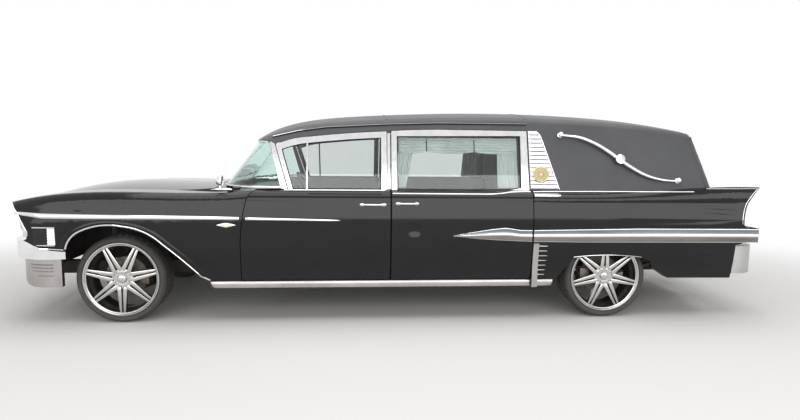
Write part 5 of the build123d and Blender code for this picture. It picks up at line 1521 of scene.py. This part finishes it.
def dash_fittings():
    """Dials under their hood, the bright strip, the radio, the glovebox and the knobs."""
    parts = [slab("hood_over_dials", (1226, -545, 984), (1258, -215, 1052), 11, "dash_paint")]
    for y, radius in ((-470, 21), (-380, 27), (-290, 21)):
        seat = spot(1257, y, 1018)
        needle = [spot(1260, y, 1018), spot(1260, y - radius * 0.5, 1018 + radius * 0.6)]
        parts += [turned("dial", seat, REARWARD, [(0, 0), (radius, 0), (radius, 2), (0, 2)], "dial_white",
                         0.4, 36),
                  turned("dial_rim", seat, REARWARD, [
                      (radius, 0), (radius + 4, 0), (radius + 4, 4), (radius + 1, 6), (radius, 3)],
                         "chrome", steps=36),
                  rod("dial_hand", needle, 1, "dark_recess", resolution=1)]
    for low, high, kind in (((1244, -205, 953), (1253, 610, 963), "chrome"),
                            ((1243, -80, 892), (1252, 80, 944), "chrome"),
                            ((1250, -62, 915), (1254, 62, 938), "dark_recess"),
                            ((1243, 250, 892), (1250, 560, 944), "dash_paint")):
        parts.append(slab("plate", low, high, 2.5, kind))
    for y, z in ((-45, 904), (0, 904), (45, 904), (405, 930), (-180, 930)):
        parts.append(turned("knob", spot(1250, y, z), REARWARD, [(0, 0), (8, 0), (8, 9), (6, 12), (0, 12)],
                            "chrome", 0.6, 18))
    ride(join("dash_fittings", parts), "root", None)


def pedals():
    """Two pedals on their arms, and the lever on the steering column."""
    middle = spot(*STEERING_CENTRE)
    lever = [middle - COLUMN * 0.1 + ACROSS * (reach * MM) + UP_THE_WHEEL * (rise * MM) for reach, rise in
             ((-26, 0), (-90, -4), (-165, -12))]
    parts = [rod("lever", lever, 4.5, "stainless", resolution=2),
             rod("lever_knob", lever[2:] + [lever[2] + ACROSS * -0.022], 9, "wheel_plastic", [0.7, 1.0])]
    for y, z, width, height in ((-300, 560, 66, 40), (-175, 500, 34, 92)):
        centre, half = spot(1125, y, z), Vector((7, width / 2, height / 2)) * MM
        pad = block("pad", centre - half, centre + half, 4)
        pad.data.transform(about(centre, Matrix.Rotation(math.radians(-24), 4, "Y")))
        arm = [spot(*place) for place in
               ((1120, y, z), (1096, y, z + 110), (1082, y, 800), (1090, y, 900))]
        parts += [painted(pad, "rubber_seal"), rod("arm", arm, 6, "axle_steel")]
    ride(join("pedals", parts), "root", None)


def mirror_and_visors():
    """Inside mirror on its arm, and the two sun visors."""
    arm = [spot(1106, 0, 1428), spot(1090, 0, 1448), spot(1078, 0, 1472)]
    parts = [slab("mirror_case", (1100, -112, 1384), (1118, 112, 1436), 8, "dash_paint"),
             slab("mirror_face", (1116, -104, 1391), (1120, 104, 1429), 1.5, "chrome"),
             rod("mirror_arm", arm, 6, "chrome")]
    ride(join("inside_mirror", parts), "root", None)
    visor = drawn("sun_visor", -590, ((1108, 1448), (1262, 1478), (1262, 1490), (1108, 1462)), 450)
    ride_pair(softened(visor, 5), "root", "lining_cloth")


def inner_fittings(end, strip, crank, pull, rest=None):
    """Arm rest, window crank, door pull and bright strip inside one pair of doors."""
    parts = []
    if rest:
        parts.append(slab("arm_rest", (rest[0], -872, 668), (rest[1], -812, 716), 14, "seat_hide"))
    x, z = crank
    arm = [spot(x, -853, z), spot(x - 45, -850, z - 22), spot(x - 88, -848, z - 44)]
    parts += [turned("crank_plate", spot(x, -871, z), INWARD, [
        (0, 0), (26, 0), (24, 5), (11, 8), (11, 20), (0, 20)], "chrome", 0.6, 32),
              rod("crank_arm", arm, 6, "chrome"),
              turned("crank_knob", spot(x - 88, -856, z - 44), INWARD, [
                  (0, 0), (9, 0), (11, 12), (10, 26), (0, 28)], "wheel_plastic", 1, 20)]
    x, z = pull
    arm = [spot(x, -856, z), spot(x - 40, -854, z + 4), spot(x - 84, -856, z + 10)]
    parts += [turned("pull_plate", spot(x, -871, z), INWARD, [
        (0, 0), (21, 0), (19, 4), (9, 7), (9, 16), (0, 16)], "chrome", 0.6, 28),
              rod("pull_arm", arm, 6.5, "chrome", [1, 1, 0.8]),
              slab("lining_strip", (strip[0], -873, 800), (strip[1], -867, 812), 2, "chrome")]
    ride_pair(join(f"inner_fittings_{end}", parts), f"door_{end}_left", None)


class HEARSE_OT_cabin(bpy.types.Operator):
    """Dresses the dashboard and the steering wheel, and adds pedals, mirror, visors and door fittings."""
    bl_idname = "hearse.cabin"
    bl_label = "Cabin"

    def execute(self, context):
        ride(dressed("dashboard", "dash", "dash_paint", bevel=8.0), "root", None, ["dashboard"])
        steering_rim()
        dash_fittings()
        pedals()
        mirror_and_visors()
        inner_fittings("front", (1310, 2050), (1470, 742), (1985, 842), (1640, 1930))
        inner_fittings("rear", (2200, 3230), (2480, 742), (2260, 862))
        return {"FINISHED"}


# Underside and load space

PIPE_RADIUS = 24
DECK_TOP_Z = 723
STRIP_START_X, STRIP_LENGTH = 2275, 2600


class HEARSE_OT_underside(bpy.types.Operator):
    """Finishes the chassis, axles, engine, tank and exhaust."""
    bl_idname = "hearse.underside"
    bl_label = "Chassis and axles"

    def execute(self, context):
        coat("dark_underside", "chassis_frame", "floor_pan", "wheelhouses", "fuel_tank", "radiator_support")
        coat("axle_steel", "rear_axle", "front_suspension", "knuckle_left", "knuckle_right")
        coat("engine_iron", "engine_block")
        coat("pipe_steel", "exhaust")
        coat("gloss_black", "centre_pillars")
        pipe = skin_of("exhaust")
        parts = []
        for x in (900, 1500, 2200, 3000, 4750):
            hit, _, _, _ = pipe.ray_cast(spot(x, 215, 100), UPWARD, 1.0)
            if hit is None:
                raise RuntimeError(f"no exhaust pipe over x {x}")
            centre = hit + UPWARD * PIPE_RADIUS * MM
            ring = lathe("clamp", centre - REARWARD * 11 * MM, REARWARD,
                         [(23, 0), (27.5, 0), (28, 11), (27.5, 22), (23, 22)], steps=28)
            seat = centre + Vector((0, 33, 0)) * MM
            half = Vector((5, 9, 6)) * MM
            parts += [softened(ring, 0.6), block("clamp_bolt", seat - half, seat + half, 1)]
        ride(join("exhaust_clamps", parts), "root", "axle_steel")
        return {"FINISHED"}


class HEARSE_OT_load_space(bpy.types.Operator):
    """Finishes the loading deck and its rollers."""
    bl_idname = "hearse.load_space"
    bl_label = "Load space"

    def execute(self, context):
        coat("deck_board", "loading_deck")
        coat("stainless", "deck_rollers")
        parts = []
        for y in (-540, -400, -215, 215, 400, 540):
            rail = pulled(f"skid_{y}", [spot(STRIP_START_X, y + w, DECK_TOP_Z + h) for w, h in
                                        ((-11, -0.5), (-9, 2.5), (-4, 4), (4, 4), (9, 2.5), (11, -0.5))],
                          Vector((STRIP_LENGTH * MM, 0, 0)))
            parts.append(softened(rail, 0, angle=40))
            for x in range(2300, 4860, 320):
                screw = lathe("screw", spot(x, y, DECK_TOP_Z + 3.5), UPWARD,
                              [(0, 0), (4, 0), (3, 1.6), (0, 2)], steps=10)
                parts.append(softened(screw, 0))
        ride(join("skid_strips", parts), "root", "stainless")
        return {"FINISHED"}


# Small fittings

class HEARSE_OT_fittings(bpy.types.Operator):
    """Adds the mirror and the door handles."""
    bl_idname = "hearse.fittings"
    bl_label = "Mirror and handles"

    def execute(self, context):
        rows = ((706, 2), (722, 9), (745, 14), (775, 18), (820, 20), (850, 18), (868, 12), (879, 2))
        lines = [[spot(x, -885 - half * math.cos(math.pi * k / 8), 1071 + height * math.sin(math.pi * k / 8))
                  for k in range(9)]
                 for (x, half), height in zip(rows, (1, 5, 9, 13, 15, 13, 9, 1))]
        foot = sheet_of("mirror_foot", [line[::-1] for line in lines], 3)
        stalk = tube("stalk", [spot(786, -885, 1078), spot(784, -885, 1092), spot(783, -885, 1104)], 9,
                     [1.5, 1.0, 0.9])
        head = lathe("mirror_head", spot(780, -885, 1139), REARWARD, [
            (0, -30), (14, -28), (28, -21), (38, -10), (43, 4), (45, 14), (45, 18), (43, 20), (41, 18),
            (40, 15), (0, 15)], steps=56)
        mirror = join("door_mirror", [painted(softened(each, 0.5), "chrome") for each in (foot, stalk, head)])
        ride(mirror, "root", None, ["side_mirror"])

        for node, first, last, z, button in (("door_front", 1901, 2084, 965, 1),
                                             ("door_rear", 2188, 2345, 974, -1)):
            skin = skin_of(f"{node}_left")

            def out(x, height, rise=0.0):
                hit, _ = touch(skin, x, z + rise, LEFT)
                return hit + OUTWARD * height * MM

            middle, half = (first + last) / 2, (last - first) / 2
            grip = [out(middle + half * share, height) for share, height in
                    ((-0.97, 3), (-0.9, 9), (-0.7, 14), (-0.3, 15.5), (0, 15.5), (0.3, 15.5), (0.7, 14),
                     (0.9, 9), (0.97, 3))]
            parts = [tube("grip", grip, 6, [0.9, 1.0, 1.05, 1.15, 1.2, 1.15, 1.05, 1.0, 0.9])]
            for share in (-0.94, 0.94):
                seat = out(middle + half * share, 0)
                plate = lathe("plate", out(middle + half * share, -1), OUTWARD,
                              [(0, 0), (13, 0), (12.5, 3), (8, 5.5), (0, 6)], steps=28)
                plate.data.transform(about(seat, Matrix.Diagonal((1.5, 1, 0.9, 1))))
                parts.append(softened(plate, 0))
            knob = lathe("button", out(middle + button * half * 0.72, -1, -1), OUTWARD,
                         [(0, 0), (9.5, 0), (9.5, 5), (8, 7), (0, 7.5)], steps=24)
            parts.append(softened(knob, 0.5))
            bright(join(f"handle_{node[5:]}", parts), f"{node}_left")
        return {"FINISHED"}


# Stage

FLOOR_SIZE = 160
FADE_FROM, FADE_TO = 3.0, 7.5


def floor_finish(colour):
    """Pale floor that fades to white far away."""
    material = bpy.data.materials.new("floor")
    material.use_nodes = True
    tree = material.node_tree
    shader = tree.nodes["Principled BSDF"]
    shader.inputs["Roughness"].default_value = 0.85
    shader.inputs["Base Color"].default_value = (*colour, 1)
    place = node_of(tree, "ShaderNodeTexCoord").outputs["Object"]
    oval = node_of(tree, "ShaderNodeMapping", place, Scale=(1, 1.5, 1)).outputs["Vector"]
    reach = node_of(tree, "ShaderNodeVectorMath", oval, operation="LENGTH").outputs["Value"]
    fade = ranged(tree, reach, FADE_FROM, FADE_TO, interpolation_type="SMOOTHSTEP")
    share = node_of(tree, "ShaderNodeMath", fade, seen_or_mirrored(tree), operation="MULTIPLY").outputs[0]
    glow = node_of(tree, "ShaderNodeEmission", Color=(1, 1, 1, 1), Strength=1.0).outputs["Emission"]
    mixed = node_of(tree, "ShaderNodeMixShader", share, shader.outputs["BSDF"], glow)
    put(tree, tree.nodes["Material Output"].inputs["Surface"], mixed.outputs[0])
    return material


def seen_or_mirrored(tree):
    """One for a ray from the camera, a mirror or glass, and nought for any other."""
    path = node_of(tree, "ShaderNodeLightPath").outputs
    first = node_of(tree, "ShaderNodeMath", path["Is Camera Ray"], path["Is Glossy Ray"], operation="MAXIMUM")
    both = node_of(tree, "ShaderNodeMath", first.outputs[0], path["Is Transmission Ray"], operation="MAXIMUM")
    return both.outputs[0]


CAMERA_PLACE = (-0.3505, -5.5489, 1.4446)
CAMERA_YAW, CAMERA_PITCH, CAMERA_ROLL = math.radians(4.4865), math.radians(6.5), math.radians(0.6445)
SENSOR_WIDTH = 36


def camera_turn():
    """Place and turn of the camera that took the photograph, from its yaw, pitch and roll."""
    yaw, pitch, roll = CAMERA_YAW, CAMERA_PITCH, CAMERA_ROLL
    ahead = Vector((math.sin(yaw) * math.cos(pitch), math.cos(yaw) * math.cos(pitch), -math.sin(pitch)))
    level = Vector((math.cos(yaw), -math.sin(yaw), 0))
    above = level.cross(ahead)
    right = level * math.cos(roll) + above * math.sin(roll)
    top = above * math.cos(roll) - level * math.sin(roll)
    place = Matrix((right, top, -ahead)).transposed().to_4x4()
    place.translation = CAMERA_PLACE
    return place


class HEARSE_OT_stage(bpy.types.Operator):
    """Adds the pale floor, the soft light and the camera."""
    bl_idname = "hearse.stage"
    bl_label = "Floor, light and camera"

    def execute(self, context):
        stage = context.scene.hearse_stage
        deselect()
        bpy.ops.mesh.primitive_plane_add(size=FLOOR_SIZE)
        floor = named("floor")
        floor.data.materials.append(floor_finish(stage.floor_colour))
        world = bpy.data.worlds.new("sky")
        context.scene.world = world
        world.use_nodes = True
        tree = world.node_tree
        ground = tree.nodes["Background"]
        ground.inputs["Color"].default_value = (1, 1, 1, 1)
        strength = ranged(tree, seen_or_mirrored(tree), 0.0, 1.0, stage.sky_light, 1.0)
        put(tree, ground.inputs["Strength"], strength)
        for name, place, target, size, height, power in (
                ("overhead", (0.3, -1.0, 5.5), (0.3, 0, 0.6), 8.0, 6.0, stage.key_light),
                ("side_fill", (0.0, -8.5, 3.3), (0, 0, 1.6), 18.0, 4.2, stage.fill_light)):
            bpy.ops.object.light_add(type="AREA", location=place)
            lamp = context.object
            lamp.name = name
            lamp.data.shape = "RECTANGLE"
            lamp.data.size = size
            lamp.data.size_y = height
            lamp.data.energy = power
            lamp.rotation_euler = (Vector(target) - Vector(place)).to_track_quat("-Z", "Y").to_euler()
        bpy.ops.object.camera_add()
        camera = context.object
        camera.data.lens = stage.lens
        camera.data.sensor_width = SENSOR_WIDTH
        camera.matrix_world = camera_turn()
        context.scene.camera = camera
        context.scene.view_settings.view_transform = "Standard"
        return {"FINISHED"}


OPERATORS = (
    HEARSE_OT_panels,
    HEARSE_OT_roof,
    HEARSE_OT_glass,
    HEARSE_OT_window_trim,
    HEARSE_OT_side_trim,
    HEARSE_OT_front_end,
    HEARSE_OT_rear_end,
    HEARSE_OT_landau,
    HEARSE_OT_wheels,
    HEARSE_OT_calipers,
    HEARSE_OT_tyres,
    HEARSE_OT_curtains,
    HEARSE_OT_seat,
    HEARSE_OT_cabin,
    HEARSE_OT_load_space,
    HEARSE_OT_underside,
    HEARSE_OT_fittings,
    HEARSE_OT_stage,
)
SETTINGS = ((HearsePaint, "hearse_paint"), (HearseCabin, "hearse_cabin"), (HearseStage, "hearse_stage"))


class HEARSE_PT_panel(bpy.types.Panel):
    """Lists the steps and the sizes and colours of the hearse."""
    bl_idname = "HEARSE_PT_panel"
    bl_label = "Hearse"
    bl_space_type = "VIEW_3D"
    bl_region_type = "UI"
    bl_category = "Hearse"

    def draw(self, context):
        for step in OPERATORS:
            self.layout.operator(step.bl_idname)
        for group, holder in SETTINGS:
            box = self.layout.box()
            for key in group.__annotations__:
                box.prop(getattr(context.scene, holder), key)


def register():
    for group, holder in SETTINGS:
        bpy.utils.register_class(group)
        setattr(bpy.types.Scene, holder, PointerProperty(type=group))
    for step in OPERATORS:
        bpy.utils.register_class(step)
    bpy.utils.register_class(HEARSE_PT_panel)


def unregister():
    bpy.utils.unregister_class(HEARSE_PT_panel)
    for step in reversed(OPERATORS):
        bpy.utils.unregister_class(step)
    for group, holder in reversed(SETTINGS):
        delattr(bpy.types.Scene, holder)
        bpy.utils.unregister_class(group)


def main():
    """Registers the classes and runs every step."""
    register()
    make_finishes()
    for step in OPERATORS:
        group, name = step.bl_idname.split(".")
        getattr(getattr(bpy.ops, group), name)()


if __name__ == "__main__":
    main()
